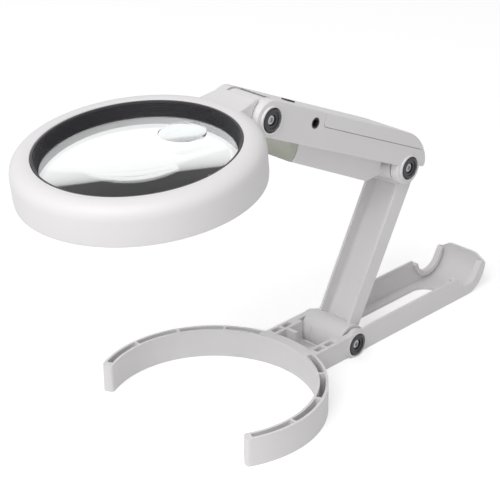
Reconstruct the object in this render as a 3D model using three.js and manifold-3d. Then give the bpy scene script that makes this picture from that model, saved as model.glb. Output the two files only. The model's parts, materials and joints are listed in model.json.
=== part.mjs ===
// Folding lighted magnifier: a round lens head on a two-link arm over a C-shaped stand.
// Millimetres, +Z up. The origin is on the table, straight below the hinge of the lower arm.
// +X runs along the stand to the handle end, and -Y is the side with the power inlet.
// Every moving body is drawn where it lies when the stand is closed, then swung open.
import * as THREE from "three";
import { mergeVertices } from "three/addons/utils/BufferGeometryUtils.js";
import Module from "manifold-3d";

const wasm = await Module();
wasm.setup();

// Clearances and cutting
const seatGap = 0.3;
const foldGap = 0.4;
const turnGap = 0.7;
const overrun = 4;
const weldTolerance = 0.0001;

// Linkage, seen from the side: closed layout and open pose
const baseHingeHeight = 9;
const lowerArmLength = 122;
const lowerArmRise = 11;
const upperArmLength = 147.5;
const upperArmRise = 10.4;
const headNeckLength = 13.6;
const openLowerDeg = 65.7;
const openUpperDeg = 151.6;
const openHeadDeg = 6.1;

// Hinge stack, the same at all three hinges
const knuckleRadius = 11;
const cheekRadius = 11.6;
const armKnuckleHalf = 13.6;
const tongueHalf = 11.9;
const washerThickness = 0.8;
const washerRadius = 7;
const boltRadius = 2.2;
const boltBoreRadius = 2.6;
const boltHeadRadius = 3.1;
const boltHeadThickness = 2.2;
const capRadius = 7.6;
const capThickness = 2.6;
const capBoreRadius = 3.5;
const capSides = 8;
const capBossRadius = 8.8;
const capBossHeight = 1.4;
const capRecessRadius = 7.9;

// Stand: C-shaped ring
const ringOuterRadius = 73.5;
const ringWidth = 7.2;
const ringSkin = 1.7;
const ringHeight = 19.4;
const ringFloor = 2.4;
const ringEndDeg = 118;
const ringEndRadius = 2.4;
const ringPocketCount = 9;
const ringRib = 1.8;

// Stand: neck, cheeks and trough
const standHalfWidth = 20;
const standWallHeight = 16.6;
const standFloor = 1.8;
const standCheekRadius = 10.3;
const standCheekHalf = 21.8;
const troughSkin = 2;
const neckHalfWidth = 23.2;
const neckHeight = 17.7;
const neckPitHalf = 15;
const neckPocketInner = 17.1;
const neckPocketOuter = 21;
const neckPocketLength = 7;
const neckPocketWeb = 2.6;
const neckPocketCount = 2;
const neckPocketDepth = 12;
const underBarHalf = 5;
const stopPostLength = 2.8;
const stopPostSetback = 9;
const stopPostFrom = 5.5;
const stopPostTo = 13.2;
const stopPostHeight = 18.8;
const slotHalfWidth = 11;
const slotStart = 30;
const slotEndInset = 11.6;
const notchRadius = 12.6;
const notchRimWidth = 3;
const notchRimInset = 2.6;
const shoulderTop = 21;
const shoulderLength = 5;
const notchMouthDeg = 31;
const scoopSideTop = 19.2;
const scoopCrestTop = 24.7;
const scoopCrestHalf = 11.4;
const lipHeight = 2.2;
const lipWidth = 1.6;
const lipStart = 62;
const lipLength = 45;

// Lower arm
const barrelHalf = 17.2;
const barrelRadius = 12;
const barrelCoreRadius = 6.6;
const barrelFullFromDeg = -46;
const barrelFullToDeg = 154;
const lowerArmSkin = 1.7;
const lowerArmFloor = 1.5;
const lowerArmRootTop = 13.3;
const lowerArmTipTop = 14.7;
const heelArcDeg = 26;

// Upper arm: battery case with a keel below it
const caseHalfWidth = 20.5;
const caseEdge = 1;
const caseBottom = 19.8;
const caseHeadRadius = 12;
const caseHeelReach = 16.4;
const caseHeelBottom = 22.6;
const caseHeelRound = 2;
const caseHeelUpper = 30;
const caseShoulderReach = 8.5;
const caseShoulderDrop = 1.9;
const caseTopBack = 7.5;
const keelHalfWidth = 11.4;
const keelFrontBottom = 7.2;
const keelRearBottom = 4.7;
const keelRearSetback = 28;
const keelRearSlope = 14;
const keelRearRise = 7.5;
const noseLength = 17;
const noseStart = 4;
const noseCorner = 5;
const doorStart = 23.5;
const doorBottom = 33.7;
const doorSkin = 2;

// Cells and their contacts
const cellRadius = 5.25;
const cellLength = 43.2;
const cellNubRadius = 1.9;
const cellNubLength = 1.3;
const cellPitch = 11.2;
const cellCount = 3;
const bayStart = 34;
const bayFloor = 27.6;
const bayHalfWidth = 17.6;
const contactThickness = 0.6;
const contactHeight = 9;
const contactRoom = 2.6;

// Power inlet and switch
const inletX = 15.3;
const inletZ = 34.6;
const inletRadius = 3.5;
const inletBoreRadius = 2.5;
const inletPinRadius = 0.9;
const inletDepth = 8;
const inletBack = 1.4;
const switchX = 5;
const switchTravel = 4;
const switchLength = 7;
const switchHalfWidth = 2.6;
const switchWellDepth = 2.6;
const switchStandOut = 0.9;
const switchRidge = 0.5;
const switchRidgeCount = 4;

// Lens head: radii and depths below the rim plane
const headOuterRadius = 73.4;
const headDepth = 24;
const headSkin = 2.3;
const rimCrownInset = 9;
const rimCrownHeight = 0.5;
const rimShoulderInset = 3;
const rimShoulderDepth = 2.2;
const rimHaunchInset = 0.9;
const rimHaunchDepth = 5.2;
const rimWidth = 12.8;
const rimFoot = 1.6;
const headHaunchDepth = 9;
const headFootDepth = 21.5;
const headFootInset = 0.3;
const bezelWidth = 3.6;
const bezelDepth = 9.4;
const bezelLip = 1.1;
const bezelSkirtDepth = 17;
const bezelStepCount = 3;
const bezelStep = 0.35;
const lensSeatWidth = 1.4;
const lensEdgeThickness = 3;
const lensUpperRise = 5.6;
const lensLowerRise = 3.6;
const insertRadius = 14;
const insertMargin = 9.1;
const insertDepth = 2.4;
const insertRise = 1.5;
const lowerRingPlate = 1.8;
const lowerRingCollar = 1.3;
const ledBoardWidth = 9.1;
const ledBoardThickness = 1.6;
const ledBoardLedge = 1.4;
const ledBoardHeight = 3.1;
const ledCount = 8;
const ledRadius = 2.4;
const ledCircleInset = 8.2;
const ledLength = 2.6;
const ledFirstDeg = 22.5;
const neckRootHalf = 17.5;
const neckTipHalf = 15.4;
const neckTipSetback = 1.2;
const neckTopRise = 1.9;
const neckRampLength = 7;
const neckUnderside = 7.4;

// Facets
const ringFacets = 24;
const headFacets = 64;
const hingeFacets = 14;
const smallFacets = 16;
const boreFacets = 10;

// Radii and places that follow from the sizes above
const elbowX = Math.sqrt(lowerArmLength ** 2 - lowerArmRise ** 2);
const elbowZ = baseHingeHeight + lowerArmRise;
const headHingeX = elbowX - Math.sqrt(upperArmLength ** 2 - upperArmRise ** 2);
const headHingeZ = elbowZ + upperArmRise;
const ringX = headHingeX - headNeckLength - headOuterRadius;
const ringInnerRadius = ringOuterRadius - ringWidth;
const rimZ = ringHeight + seatGap + headDepth;
const caseTop = headHingeZ + caseHeadRadius;
const rimCrownRadius = headOuterRadius - rimCrownInset;
const rimShoulderRadius = headOuterRadius - rimShoulderInset;
const rimInnerRadius = headOuterRadius - rimWidth;
const bezelLowerRadius = rimInnerRadius - seatGap - bezelWidth;
const lensRadius = bezelLowerRadius + lensSeatWidth;
const ledCircleRadius = headOuterRadius - ledCircleInset;
const insertOffset = lensRadius - insertRadius - insertMargin;
const armCheekInner = armKnuckleHalf + washerThickness + 2 * seatGap;
const baseCheekInner = barrelHalf + washerThickness + 2 * seatGap;
const headCheekInner = tongueHalf + washerThickness + 2 * seatGap;
const lowerArmBottom = standFloor + foldGap;
const heelRadius = elbowZ - lowerArmBottom;
const capRecessDepth = capThickness + seatGap;
const baseHinge = { x: 0, z: baseHingeHeight };
const elbow = { x: elbowX, z: elbowZ };
const headHinge = { x: headHingeX, z: headHingeZ };

const radians = THREE.MathUtils.degToRad;

const finishes = {
  shell: { color: 0xd9d7d8, roughness: 0.5, metalness: 0 },
  cover: { color: 0xdddbdc, roughness: 0.5, metalness: 0 },
  nose: { color: 0xb9bcb0, roughness: 0.55, metalness: 0 },
  black: { color: 0x2b2a2e, roughness: 0.45, metalness: 0 },
  steel: { color: 0xc9cacd, roughness: 0.3, metalness: 1 },
  lens: { color: 0xf1f5f6, roughness: 0.04, metalness: 0 },
  board: { color: 0x2f6f4a, roughness: 0.6, metalness: 0 },
  lamp: { color: 0xf6f4e6, roughness: 0.2, metalness: 0 },
  cell: { color: 0x77797d, roughness: 0.4, metalness: 0.3 },
  washer: { color: 0xe8e6e0, roughness: 0.5, metalness: 0 },
};

// Solids and meshes

function signedVolume(positions, index) {
  const a = new THREE.Vector3();
  const b = new THREE.Vector3();
  const c = new THREE.Vector3();
  let volume = 0;
  for (let i = 0; i < index.length; i += 3) {
    a.fromArray(positions, 3 * index[i]);
    b.fromArray(positions, 3 * index[i + 1]);
    c.fromArray(positions, 3 * index[i + 2]);
    volume += a.dot(b.cross(c));
  }
  return volume;
}

// A closed geometry becomes a solid; shared corners are merged and faces are turned outwards.
function toSolid(geometry) {
  const bare = new THREE.BufferGeometry();
  bare.setAttribute("position", geometry.getAttribute("position"));
  bare.setIndex(geometry.getIndex());
  const merged = mergeVertices(bare, weldTolerance);
  const positions = merged.getAttribute("position").array;
  const source = merged.getIndex().array;
  const corners = [];
  for (let i = 0; i < source.length; i += 3) {
    const [a, b, c] = [source[i], source[i + 1], source[i + 2]];
    if (a !== b && b !== c && c !== a) {
      corners.push(a, b, c);
    }
  }
  if (signedVolume(positions, corners) < 0) {
    for (let i = 0; i < corners.length; i += 3) {
      [corners[i], corners[i + 1]] = [corners[i + 1], corners[i]];
    }
  }
  const mesh = new wasm.Mesh({
    numProp: 3,
    vertProperties: new Float32Array(positions),
    triVerts: new Uint32Array(corners),
  });
  return new wasm.Manifold(mesh);
}

function toGeometry(solid) {
  const mesh = solid.getMesh();
  const geometry = new THREE.BufferGeometry();
  geometry.setAttribute("position", new THREE.BufferAttribute(mesh.vertProperties, mesh.numProp));
  geometry.setIndex(new THREE.BufferAttribute(mesh.triVerts, 1));
  geometry.computeVertexNormals();
  return geometry;
}

function piece(name, solid, finish) {
  const mesh = new THREE.Mesh(toGeometry(solid), new THREE.MeshStandardMaterial(finishes[finish]));
  mesh.name = name;
  return mesh;
}

// A plan outline (x, y) raised from one height to another.
function raised(shape, bottom, top, facets = boreFacets) {
  const settings = { depth: top - bottom, bevelEnabled: false, curveSegments: facets };
  return toSolid(new THREE.ExtrudeGeometry(shape, settings).translate(0, 0, bottom));
}

// A side outline (x, z) run across the part from one y to another, with an optional rounded edge.
function across(shape, from, to, facets = boreFacets, edge = 0) {
  const settings = {
    depth: to - from - 2 * edge,
    bevelEnabled: edge > 0,
    bevelThickness: edge,
    bevelSize: edge,
    bevelOffset: -edge,
    bevelSegments: 2,
    curveSegments: facets,
  };
  const geometry = new THREE.ExtrudeGeometry(shape, settings);
  return toSolid(geometry.rotateX(Math.PI / 2).translate(0, to - edge, 0));
}

// An end outline (y, z) run along the part from one x to another.
function lengthwise(shape, from, to) {
  const settings = { depth: to - from, bevelEnabled: false, curveSegments: boreFacets };
  const geometry = new THREE.ExtrudeGeometry(shape, settings);
  return toSolid(geometry.rotateX(Math.PI / 2).rotateZ(Math.PI / 2).translate(from, 0, 0));
}

function block(x0, x1, y0, y1, z0, z1) {
  const geometry = new THREE.BoxGeometry(x1 - x0, y1 - y0, z1 - z0);
  return toSolid(geometry.translate((x0 + x1) / 2, (y0 + y1) / 2, (z0 + z1) / 2));
}

// A disc or rod on a hinge axis, which runs along y.
function drum(pivot, radius, from, to, facets = 2 * hingeFacets) {
  const geometry = new THREE.CylinderGeometry(radius, radius, to - from, facets);
  return toSolid(geometry.translate(pivot.x, (from + to) / 2, pivot.z));
}

function post(x, y, radius, bottom, top, facets = smallFacets) {
  const geometry = new THREE.CylinderGeometry(radius, radius, top - bottom, facets);
  return toSolid(geometry.rotateX(Math.PI / 2).translate(x, y, (bottom + top) / 2));
}

// A closed profile of [radius, height] points turned about the vertical axis at x.
function turned(profile, x, facets = headFacets) {
  const points = profile.map(([radius, height]) => new THREE.Vector2(radius, height));
  points.push(points[0].clone());
  return toSolid(new THREE.LatheGeometry(points, facets).rotateX(Math.PI / 2).translate(x, 0, 0));
}

// A closed profile of [radius, y] points turned about a hinge axis.
function spun(profile, pivot, facets = smallFacets) {
  const points = profile.map(([radius, y]) => new THREE.Vector2(radius, y));
  points.push(points[0].clone());
  return toSolid(new THREE.LatheGeometry(points, facets).translate(pivot.x, 0, pivot.z));
}

function polar(centre, radius, angle) {
  return [centre.x + radius * Math.cos(angle), centre.z + radius * Math.sin(angle)];
}

function outline(points) {
  return new THREE.Shape(points.map(([x, y]) => new THREE.Vector2(x, y)));
}

// A group that turns its children about a hinge axis; positive angles lift +X towards +Z.
function swung(pivot, angle) {
  const group = new THREE.Group();
  group.rotation.y = -angle;
  const moved = new THREE.Vector3(pivot.x, 0, pivot.z).applyEuler(group.rotation);
  group.position.set(pivot.x - moved.x, 0, pivot.z - moved.z);
  return group;
}

// Hinge hardware

// Recesses for the end caps and one bore through the whole stack.
function hingeCuts(pivot, faceHalf) {
  const outer = faceHalf + capBossHeight;
  const near = drum(pivot, capRecessRadius, -outer - overrun, capRecessDepth - outer);
  const far = drum(pivot, capRecessRadius, outer - capRecessDepth, outer + overrun);
  return near.add(far).add(drum(pivot, boltBoreRadius, -outer, outer, smallFacets));
}

function hingeBosses(pivot, faceHalf, innerHalf) {
  const outer = faceHalf + capBossHeight;
  return drum(pivot, capBossRadius, -outer, -innerHalf).add(drum(pivot, capBossRadius, innerHalf, outer));
}

function hingeHardware(name, pivot, faceHalf, knuckleHalf) {
  const outer = faceHalf + capBossHeight;
  const headUnder = outer - capRecessDepth + seatGap;
  const headTop = headUnder + boltHeadThickness;
  const bolt = spun([
    [0, -headTop],
    [boltHeadRadius, -headTop],
    [boltHeadRadius, -headUnder],
    [boltRadius, -headUnder],
    [boltRadius, headUnder],
    [boltHeadRadius, headUnder],
    [boltHeadRadius, headTop],
    [0, headTop],
  ], pivot);
  const meshes = [piece(`${name}_bolt`, bolt, "steel")];
  const washerFrom = knuckleHalf + seatGap;
  for (const [side, sign] of [["near", -1], ["far", 1]]) {
    const capEnds = [sign * headUnder, sign * (headUnder + capThickness)].sort((a, b) => a - b);
    const cap = drum(pivot, capRadius, ...capEnds, capSides);
    const capBore = drum(pivot, capBoreRadius, capEnds[0] - overrun, capEnds[1] + overrun, smallFacets);
    meshes.push(piece(`${name}_cap_${side}`, cap.subtract(capBore), "black"));
    const ends = [sign * washerFrom, sign * (washerFrom + washerThickness)].sort((a, b) => a - b);
    const washer = drum(pivot, washerRadius, ...ends, hingeFacets);
    const bore = drum(pivot, boltBoreRadius, ends[0] - overrun, ends[1] + overrun, smallFacets);
    meshes.push(piece(`${name}_washer_${side}`, washer.subtract(bore), "washer"));
  }
  return meshes;
}

// Stand

function ringPoint(radius, angle) {
  return [ringX + radius * Math.cos(angle), radius * Math.sin(angle)];
}

function ringOutline() {
  const end = radians(ringEndDeg);
  const shape = new THREE.Shape();
  const outerEnd = end - ringEndRadius / ringOuterRadius;
  const innerEnd = end - ringEndRadius / ringInnerRadius;
  const outerFace = ringOuterRadius - ringEndRadius;
  const innerFace = ringInnerRadius + ringEndRadius;
  shape.moveTo(...ringPoint(ringOuterRadius, -outerEnd));
  shape.absarc(ringX, 0, ringOuterRadius, -outerEnd, outerEnd, false);
  shape.quadraticCurveTo(...ringPoint(ringOuterRadius, end), ...ringPoint(outerFace, end));
  shape.lineTo(...ringPoint(innerFace, end));
  shape.quadraticCurveTo(...ringPoint(ringInnerRadius, end), ...ringPoint(ringInnerRadius, innerEnd));
  shape.absarc(ringX, 0, ringInnerRadius, innerEnd, -innerEnd, true);
  shape.quadraticCurveTo(...ringPoint(ringInnerRadius, -end), ...ringPoint(innerFace, -end));
  shape.lineTo(...ringPoint(outerFace, -end));
  shape.quadraticCurveTo(...ringPoint(ringOuterRadius, -end), ...ringPoint(ringOuterRadius, -outerEnd));
  return shape;
}

// The open pockets between the ring's two skins, with a rib between each two.
function ringPockets() {
  const first = -radians(ringEndDeg) + 2 * ringRib / ringOuterRadius;
  const pitch = -2 * first / ringPocketCount;
  const halfRib = ringRib / (2 * ringOuterRadius);
  const outer = ringOuterRadius - ringSkin;
  const inner = ringInnerRadius + ringSkin;
  let pockets = null;
  for (let i = 0; i < ringPocketCount; i += 1) {
    const from = first + i * pitch + halfRib;
    const to = first + (i + 1) * pitch - halfRib;
    const shape = new THREE.Shape();
    shape.moveTo(...ringPoint(outer, from));
    shape.absarc(ringX, 0, outer, from, to, false);
    shape.lineTo(...ringPoint(inner, to));
    shape.absarc(ringX, 0, inner, to, from, true);
    const pocket = raised(shape, ringFloor, ringHeight + overrun, Math.ceil(ringFacets / ringPocketCount));
    pockets = pockets ? pockets.add(pocket) : pocket;
  }
  return pockets.subtract(block(ringX, 0, -neckHalfWidth, neckHalfWidth, 0, 2 * ringHeight));
}

// Trough walls from the hinge outwards; the far end is round about the closed elbow.
function troughOutline() {
  const shape = new THREE.Shape();
  const notchRight = Math.asin((shoulderTop - elbowZ) / notchRadius);
  const notchLeft = -Math.PI - Math.asin((standWallHeight - elbowZ) / notchRadius);
  const scoopEnd = Math.asin((scoopSideTop - elbowZ) / elbowZ);
  const shoulderX = elbowX + notchRadius * Math.cos(notchRight) + shoulderLength;
  shape.moveTo(0, 0);
  shape.lineTo(elbowX, 0);
  shape.absarc(elbowX, elbowZ, elbowZ, -Math.PI / 2, scoopEnd, false);
  shape.lineTo(shoulderX, shoulderTop);
  shape.lineTo(...polar(elbow, notchRadius, notchRight));
  shape.absarc(elbowX, elbowZ, notchRadius, notchRight, notchLeft, true);
  shape.lineTo(0, standWallHeight);
  return shape;
}

function troughHollow() {
  const inner = elbowZ - standFloor;
  const half = standHalfWidth - troughSkin;
  const side = new THREE.Shape();
  side.moveTo(0, standFloor);
  side.lineTo(elbowX, standFloor);
  side.absarc(elbowX, elbowZ, inner, -Math.PI / 2, Math.PI / 4, false);
  side.lineTo(elbowX + inner * Math.SQRT1_2, caseTop);
  side.lineTo(0, caseTop);
  return across(side, -half, half, hingeFacets);
}

function floorSlot() {
  const end = elbowX - slotEndInset - slotHalfWidth;
  const shape = new THREE.Shape();
  shape.moveTo(slotStart, -slotHalfWidth);
  shape.lineTo(end, -slotHalfWidth);
  shape.absarc(end, 0, slotHalfWidth, -Math.PI / 2, Math.PI / 2, false);
  shape.lineTo(slotStart, slotHalfWidth);
  return raised(shape, -overrun, standFloor + overrun);
}

// A thicker rim round each side notch, inside the trough.
function notchRims() {
  const from = -Math.PI - Math.asin((standWallHeight - elbowZ) / (notchRadius + notchRimWidth));
  const to = Math.asin((shoulderTop - elbowZ) / (notchRadius + notchRimWidth));
  const shape = new THREE.Shape();
  shape.moveTo(...polar(elbow, notchRadius, from));
  shape.absarc(elbowX, elbowZ, notchRadius + notchRimWidth, from, to, false);
  shape.lineTo(...polar(elbow, notchRadius, to));
  shape.absarc(elbowX, elbowZ, notchRadius, to, from, true);
  const innerY = standHalfWidth - troughSkin - notchRimInset;
  const outerY = standHalfWidth - troughSkin / 2;
  return across(shape, innerY, outerY, hingeFacets).add(across(shape, -outerY, -innerY, hingeFacets));
}

// Opens each side notch outwards above the closed heel, along a line that leaves its circle.
function notchMouth() {
  const lean = radians(notchMouthDeg);
  const foot = polar(elbow, notchRadius, -lean);
  const rise = caseHeelBottom - foot[1];
  const shape = outline([
    [elbowX, elbowZ],
    foot,
    [foot[0] + rise * Math.tan(lean), caseHeelBottom],
    [elbowX, caseHeelBottom],
  ]);
  return across(shape, -standHalfWidth - overrun, standHalfWidth + overrun, hingeFacets);
}

// The far end's curved wall, highest in the middle and sloping down to the shoulders.
function scoopCrest() {
  const inner = elbowZ - standFloor;
  const outerTop = Math.asin((scoopCrestTop - elbowZ) / elbowZ);
  const innerTop = Math.asin((scoopCrestTop - elbowZ) / inner);
  const low = -Math.PI / 4;
  const side = new THREE.Shape();
  side.moveTo(...polar(elbow, elbowZ, low));
  side.absarc(elbowX, elbowZ, elbowZ, low, outerTop, false);
  side.lineTo(...polar(elbow, inner, innerTop));
  side.absarc(elbowX, elbowZ, inner, innerTop, low, true);
  const end = outline([
    [-standHalfWidth, 0],
    [standHalfWidth, 0],
    [standHalfWidth, scoopSideTop],
    [scoopCrestHalf, scoopCrestTop],
    [-scoopCrestHalf, scoopCrestTop],
    [-standHalfWidth, scoopSideTop],
  ]);
  const band = across(side, -standHalfWidth, standHalfWidth, hingeFacets);
  return band.intersect(lengthwise(end, elbowX, elbowX + 2 * elbowZ));
}

// The neck joins ring and cheeks; its walls lean out and carry small open pockets.
function neckSolid(startX) {
  const end = outline([
    [-standHalfWidth, 0],
    [standHalfWidth, 0],
    [neckHalfWidth, neckHeight],
    [-neckHalfWidth, neckHeight],
  ]);
  let neck = lengthwise(end, startX, 0);
  neck = neck.subtract(block(startX - overrun, 0, -neckPitHalf, neckPitHalf, standFloor, caseTop));
  const floorZ = neckHeight - neckPocketDepth;
  for (let i = 0; i < neckPocketCount; i += 1) {
    const from = ringX + ringOuterRadius + ringSkin + i * (neckPocketLength + neckPocketWeb);
    const to = from + neckPocketLength;
    neck = neck.subtract(block(from, to, neckPocketInner, neckPocketOuter, floorZ, caseTop))
      .subtract(block(from, to, -neckPocketOuter, -neckPocketInner, floorZ, caseTop));
  }
  const postX = ringX + ringOuterRadius + stopPostSetback;
  return neck.add(block(postX, postX + stopPostLength, stopPostFrom, stopPostTo, 0, stopPostHeight));
}

// Round cheeks either side of the barrel, cut flat at the table.
function standCheeks() {
  const reach = standCheekHalf + capBossHeight;
  const discs = drum(baseHinge, standCheekRadius, -standCheekHalf, standCheekHalf);
  const above = block(-2 * barrelRadius, 2 * barrelRadius, -2 * reach, 2 * reach, 0, caseTop);
  return discs.add(hingeBosses(baseHinge, standCheekHalf, baseCheekInner)).intersect(above);
}

function barrelRoom() {
  const radius = barrelRadius + turnGap;
  return drum(baseHinge, radius, -baseCheekInner, baseCheekInner)
    .add(block(-radius, radius, -baseCheekInner, baseCheekInner, baseHingeHeight, caseTop));
}

function standSolid() {
  const startX = ringX + ringInnerRadius + ringSkin;
  const ring = raised(ringOutline(), 0, ringHeight, ringFacets).subtract(ringPockets());
  const trough = across(troughOutline(), -standHalfWidth, standHalfWidth, hingeFacets);
  const lipX = lipStart + lipLength;
  const lipTop = standWallHeight + lipHeight;
  const lip = block(lipStart, lipX, standHalfWidth - lipWidth, standHalfWidth, 0, lipTop);
  const underBar = block(-underBarHalf, underBarHalf, -standHalfWidth, standHalfWidth, 0, standFloor);
  return trough.subtract(troughHollow()).subtract(floorSlot()).add(scoopCrest()).add(notchRims())
    .subtract(notchMouth()).add(lip).add(standCheeks()).add(neckSolid(startX)).subtract(barrelRoom())
    .add(underBar).add(ring).subtract(hingeCuts(baseHinge, standCheekHalf));
}

// Lower arm: an open channel from the barrel to the elbow knuckle

function barrelSolid() {
  const from = radians(barrelFullFromDeg);
  const to = radians(barrelFullToDeg);
  const shape = new THREE.Shape();
  shape.moveTo(0, baseHingeHeight);
  shape.lineTo(...polar(baseHinge, barrelRadius, from));
  shape.absarc(0, baseHingeHeight, barrelRadius, from, to, false);
  const sector = across(shape, -barrelHalf, barrelHalf, hingeFacets);
  return sector.add(drum(baseHinge, barrelCoreRadius, -barrelHalf, barrelHalf));
}

function lowerArmSolid() {
  const rimAngle = Math.PI - Math.asin((lowerArmTipTop - elbowZ) / knuckleRadius);
  const side = new THREE.Shape();
  side.moveTo(0, lowerArmBottom);
  side.lineTo(elbowX, lowerArmBottom);
  side.absarc(elbowX, elbowZ, heelRadius, -Math.PI / 2, radians(heelArcDeg) - Math.PI / 2, false);
  side.lineTo(...polar(elbow, knuckleRadius, 0));
  side.absarc(elbowX, elbowZ, knuckleRadius, 0, rimAngle, false);
  side.lineTo(barrelRadius, lowerArmRootTop);
  side.lineTo(0, lowerArmRootTop);
  const floorZ = lowerArmBottom + lowerArmFloor;
  const channel = outline([
    [0, floorZ],
    [elbowX - knuckleRadius - lowerArmSkin, floorZ],
    [elbowX - knuckleRadius - lowerArmSkin, elbowZ + overrun],
    [0, elbowZ + overrun],
  ]);
  const channelHalf = armKnuckleHalf - lowerArmSkin;
  const roundEnd = drum(elbow, knuckleRadius, -armKnuckleHalf, armKnuckleHalf);
  const body = across(side, -armKnuckleHalf, armKnuckleHalf, hingeFacets);
  const hollow = across(channel, -channelHalf, channelHalf).subtract(drum(baseHinge, barrelRadius,
    -armKnuckleHalf, armKnuckleHalf));
  const bores = drum(baseHinge, boltBoreRadius, -neckHalfWidth, neckHalfWidth, smallFacets)
    .add(drum(elbow, boltBoreRadius, -standHalfWidth, standHalfWidth, smallFacets));
  return body.subtract(hollow).add(roundEnd).add(barrelSolid()).subtract(bores);
}

// Upper arm: battery case, cover, keel and nose

function caseOutline() {
  const headLow = Math.PI - Math.asin((caseBottom - headHingeZ) / caseHeadRadius);
  const heelLow = Math.PI - Math.asin((caseBottom - elbowZ) / cheekRadius);
  const heelHigh = 2 * Math.PI + Math.asin((caseHeelBottom - elbowZ) / cheekRadius);
  const shape = new THREE.Shape();
  shape.moveTo(...polar(headHinge, caseHeadRadius, headLow));
  shape.lineTo(...polar(elbow, cheekRadius, heelLow));
  shape.absarc(elbowX, elbowZ, cheekRadius, heelLow, heelHigh, false);
  const heelRoundX = elbowX + caseHeelReach - caseHeelRound;
  shape.lineTo(heelRoundX, caseHeelBottom);
  shape.absarc(heelRoundX, caseHeelBottom + caseHeelRound, caseHeelRound, -Math.PI / 2, 0, false);
  shape.bezierCurveTo(elbowX + caseHeelReach, caseHeelUpper, elbowX + caseShoulderReach,
    caseTop - caseShoulderDrop, elbowX - caseTopBack, caseTop);
  shape.lineTo(headHingeX, caseTop);
  shape.absarc(headHingeX, headHingeZ, caseHeadRadius, Math.PI / 2, headLow, false);
  return shape;
}

function keelOutline() {
  const rearX = elbowX - keelRearSetback;
  return outline([
    [0, keelFrontBottom],
    [noseLength, keelFrontBottom],
    [rearX, keelRearBottom],
    [rearX + keelRearSlope, keelRearBottom + keelRearRise],
    [rearX + keelRearSlope, caseBottom + caseEdge + seatGap],
    [0, caseBottom + caseEdge + seatGap],
  ]);
}

function caseShell() {
  return across(caseOutline(), -caseHalfWidth, caseHalfWidth, hingeFacets, caseEdge);
}

function barrelRecess() {
  return drum(baseHinge, barrelRadius + turnGap, -baseCheekInner, baseCheekInner);
}

function doorSpace(gap) {
  const front = doorStart - gap;
  const rear = elbowX + 2 * elbowZ;
  return block(front, rear, -2 * caseHalfWidth, 2 * caseHalfWidth, doorBottom - gap, 2 * caseTop);
}

function caseSolid() {
  const keel = across(keelOutline(), -keelHalfWidth, keelHalfWidth);
  const noseRoom = block(-overrun, noseLength, -keelHalfWidth - overrun, keelHalfWidth + overrun,
    0, caseBottom);
  const elbowRoom = drum(elbow, heelRadius + foldGap, -armCheekInner, armCheekInner);
  const tongueRoom = drum(headHinge, caseHeadRadius + turnGap, -headCheekInner, headCheekInner)
    .add(block(headHingeX - 2 * caseHeadRadius, headHingeX, -headCheekInner, headCheekInner, 0, 2 * caseTop));
  const bayEnd = bayStart + cellLength + cellNubLength + 2 * contactRoom;
  const bay = block(bayStart, bayEnd, -bayHalfWidth, bayHalfWidth, bayFloor, 2 * caseTop);
  const inlet = drum({ x: inletX, z: inletZ }, inletRadius + seatGap, -caseHalfWidth - overrun,
    inletDepth + seatGap - caseHalfWidth, smallFacets);
  const wellEnd = switchX + switchLength + switchTravel + seatGap;
  const wellHalf = switchHalfWidth + seatGap;
  const well = block(switchX - seatGap, wellEnd, -wellHalf, wellHalf, caseTop - switchWellDepth, 2 * caseTop);
  return caseShell().subtract(doorSpace(seatGap)).add(keel.subtract(noseRoom))
    .add(hingeBosses(elbow, caseHalfWidth, armCheekInner))
    .add(hingeBosses(headHinge, caseHalfWidth, headCheekInner))
    .subtract(barrelRecess()).subtract(elbowRoom).subtract(tongueRoom).subtract(bay)
    .subtract(inlet).subtract(well)
    .subtract(hingeCuts(elbow, caseHalfWidth)).subtract(hingeCuts(headHinge, caseHalfWidth));
}

function doorSolid() {
  const half = caseHalfWidth - doorSkin;
  const hollow = block(doorStart + doorSkin, elbowX, -half, half, 0, caseTop - doorSkin);
  return caseShell().intersect(doorSpace(0)).subtract(hollow);
}

function noseSolid() {
  const top = caseBottom - seatGap;
  const end = noseLength - seatGap;
  const half = keelHalfWidth - seatGap;
  const side = new THREE.Shape();
  side.moveTo(noseStart + noseCorner, keelFrontBottom);
  side.lineTo(end, keelFrontBottom);
  side.lineTo(end, top);
  side.lineTo(noseStart, top);
  side.lineTo(noseStart, keelFrontBottom + noseCorner);
  side.quadraticCurveTo(noseStart, keelFrontBottom, noseStart + noseCorner, keelFrontBottom);
  return across(side, -half, half).subtract(barrelRecess());
}

function cellSolid(y) {
  const pivotZ = bayFloor + seatGap + cellRadius;
  const start = bayStart + contactRoom;
  const profile = [
    [0, 0],
    [cellRadius, 0],
    [cellRadius, cellLength],
    [cellNubRadius, cellLength],
    [cellNubRadius, cellLength + cellNubLength],
    [0, cellLength + cellNubLength],
  ];
  const points = profile.map(([radius, height]) => new THREE.Vector2(radius, height));
  const geometry = new THREE.LatheGeometry(points, smallFacets).rotateZ(-Math.PI / 2);
  return toSolid(geometry.translate(start, y, pivotZ));
}

function contactSolid(front) {
  const bayEnd = bayStart + cellLength + cellNubLength + 2 * contactRoom;
  const from = front ? bayStart + seatGap : bayEnd - seatGap - contactThickness;
  const half = bayHalfWidth - seatGap;
  const bottom = bayFloor + seatGap;
  return block(from, from + contactThickness, -half, half, bottom, bottom + contactHeight);
}

function inletSolid() {
  const face = -caseHalfWidth;
  const back = face + inletDepth;
  return spun([
    [0, back],
    [inletRadius, back],
    [inletRadius, face],
    [inletBoreRadius, face],
    [inletBoreRadius, back - inletBack],
    [inletPinRadius, back - inletBack],
    [inletPinRadius, face + inletBack],
    [0, face + inletBack],
  ], { x: inletX, z: inletZ });
}

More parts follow.
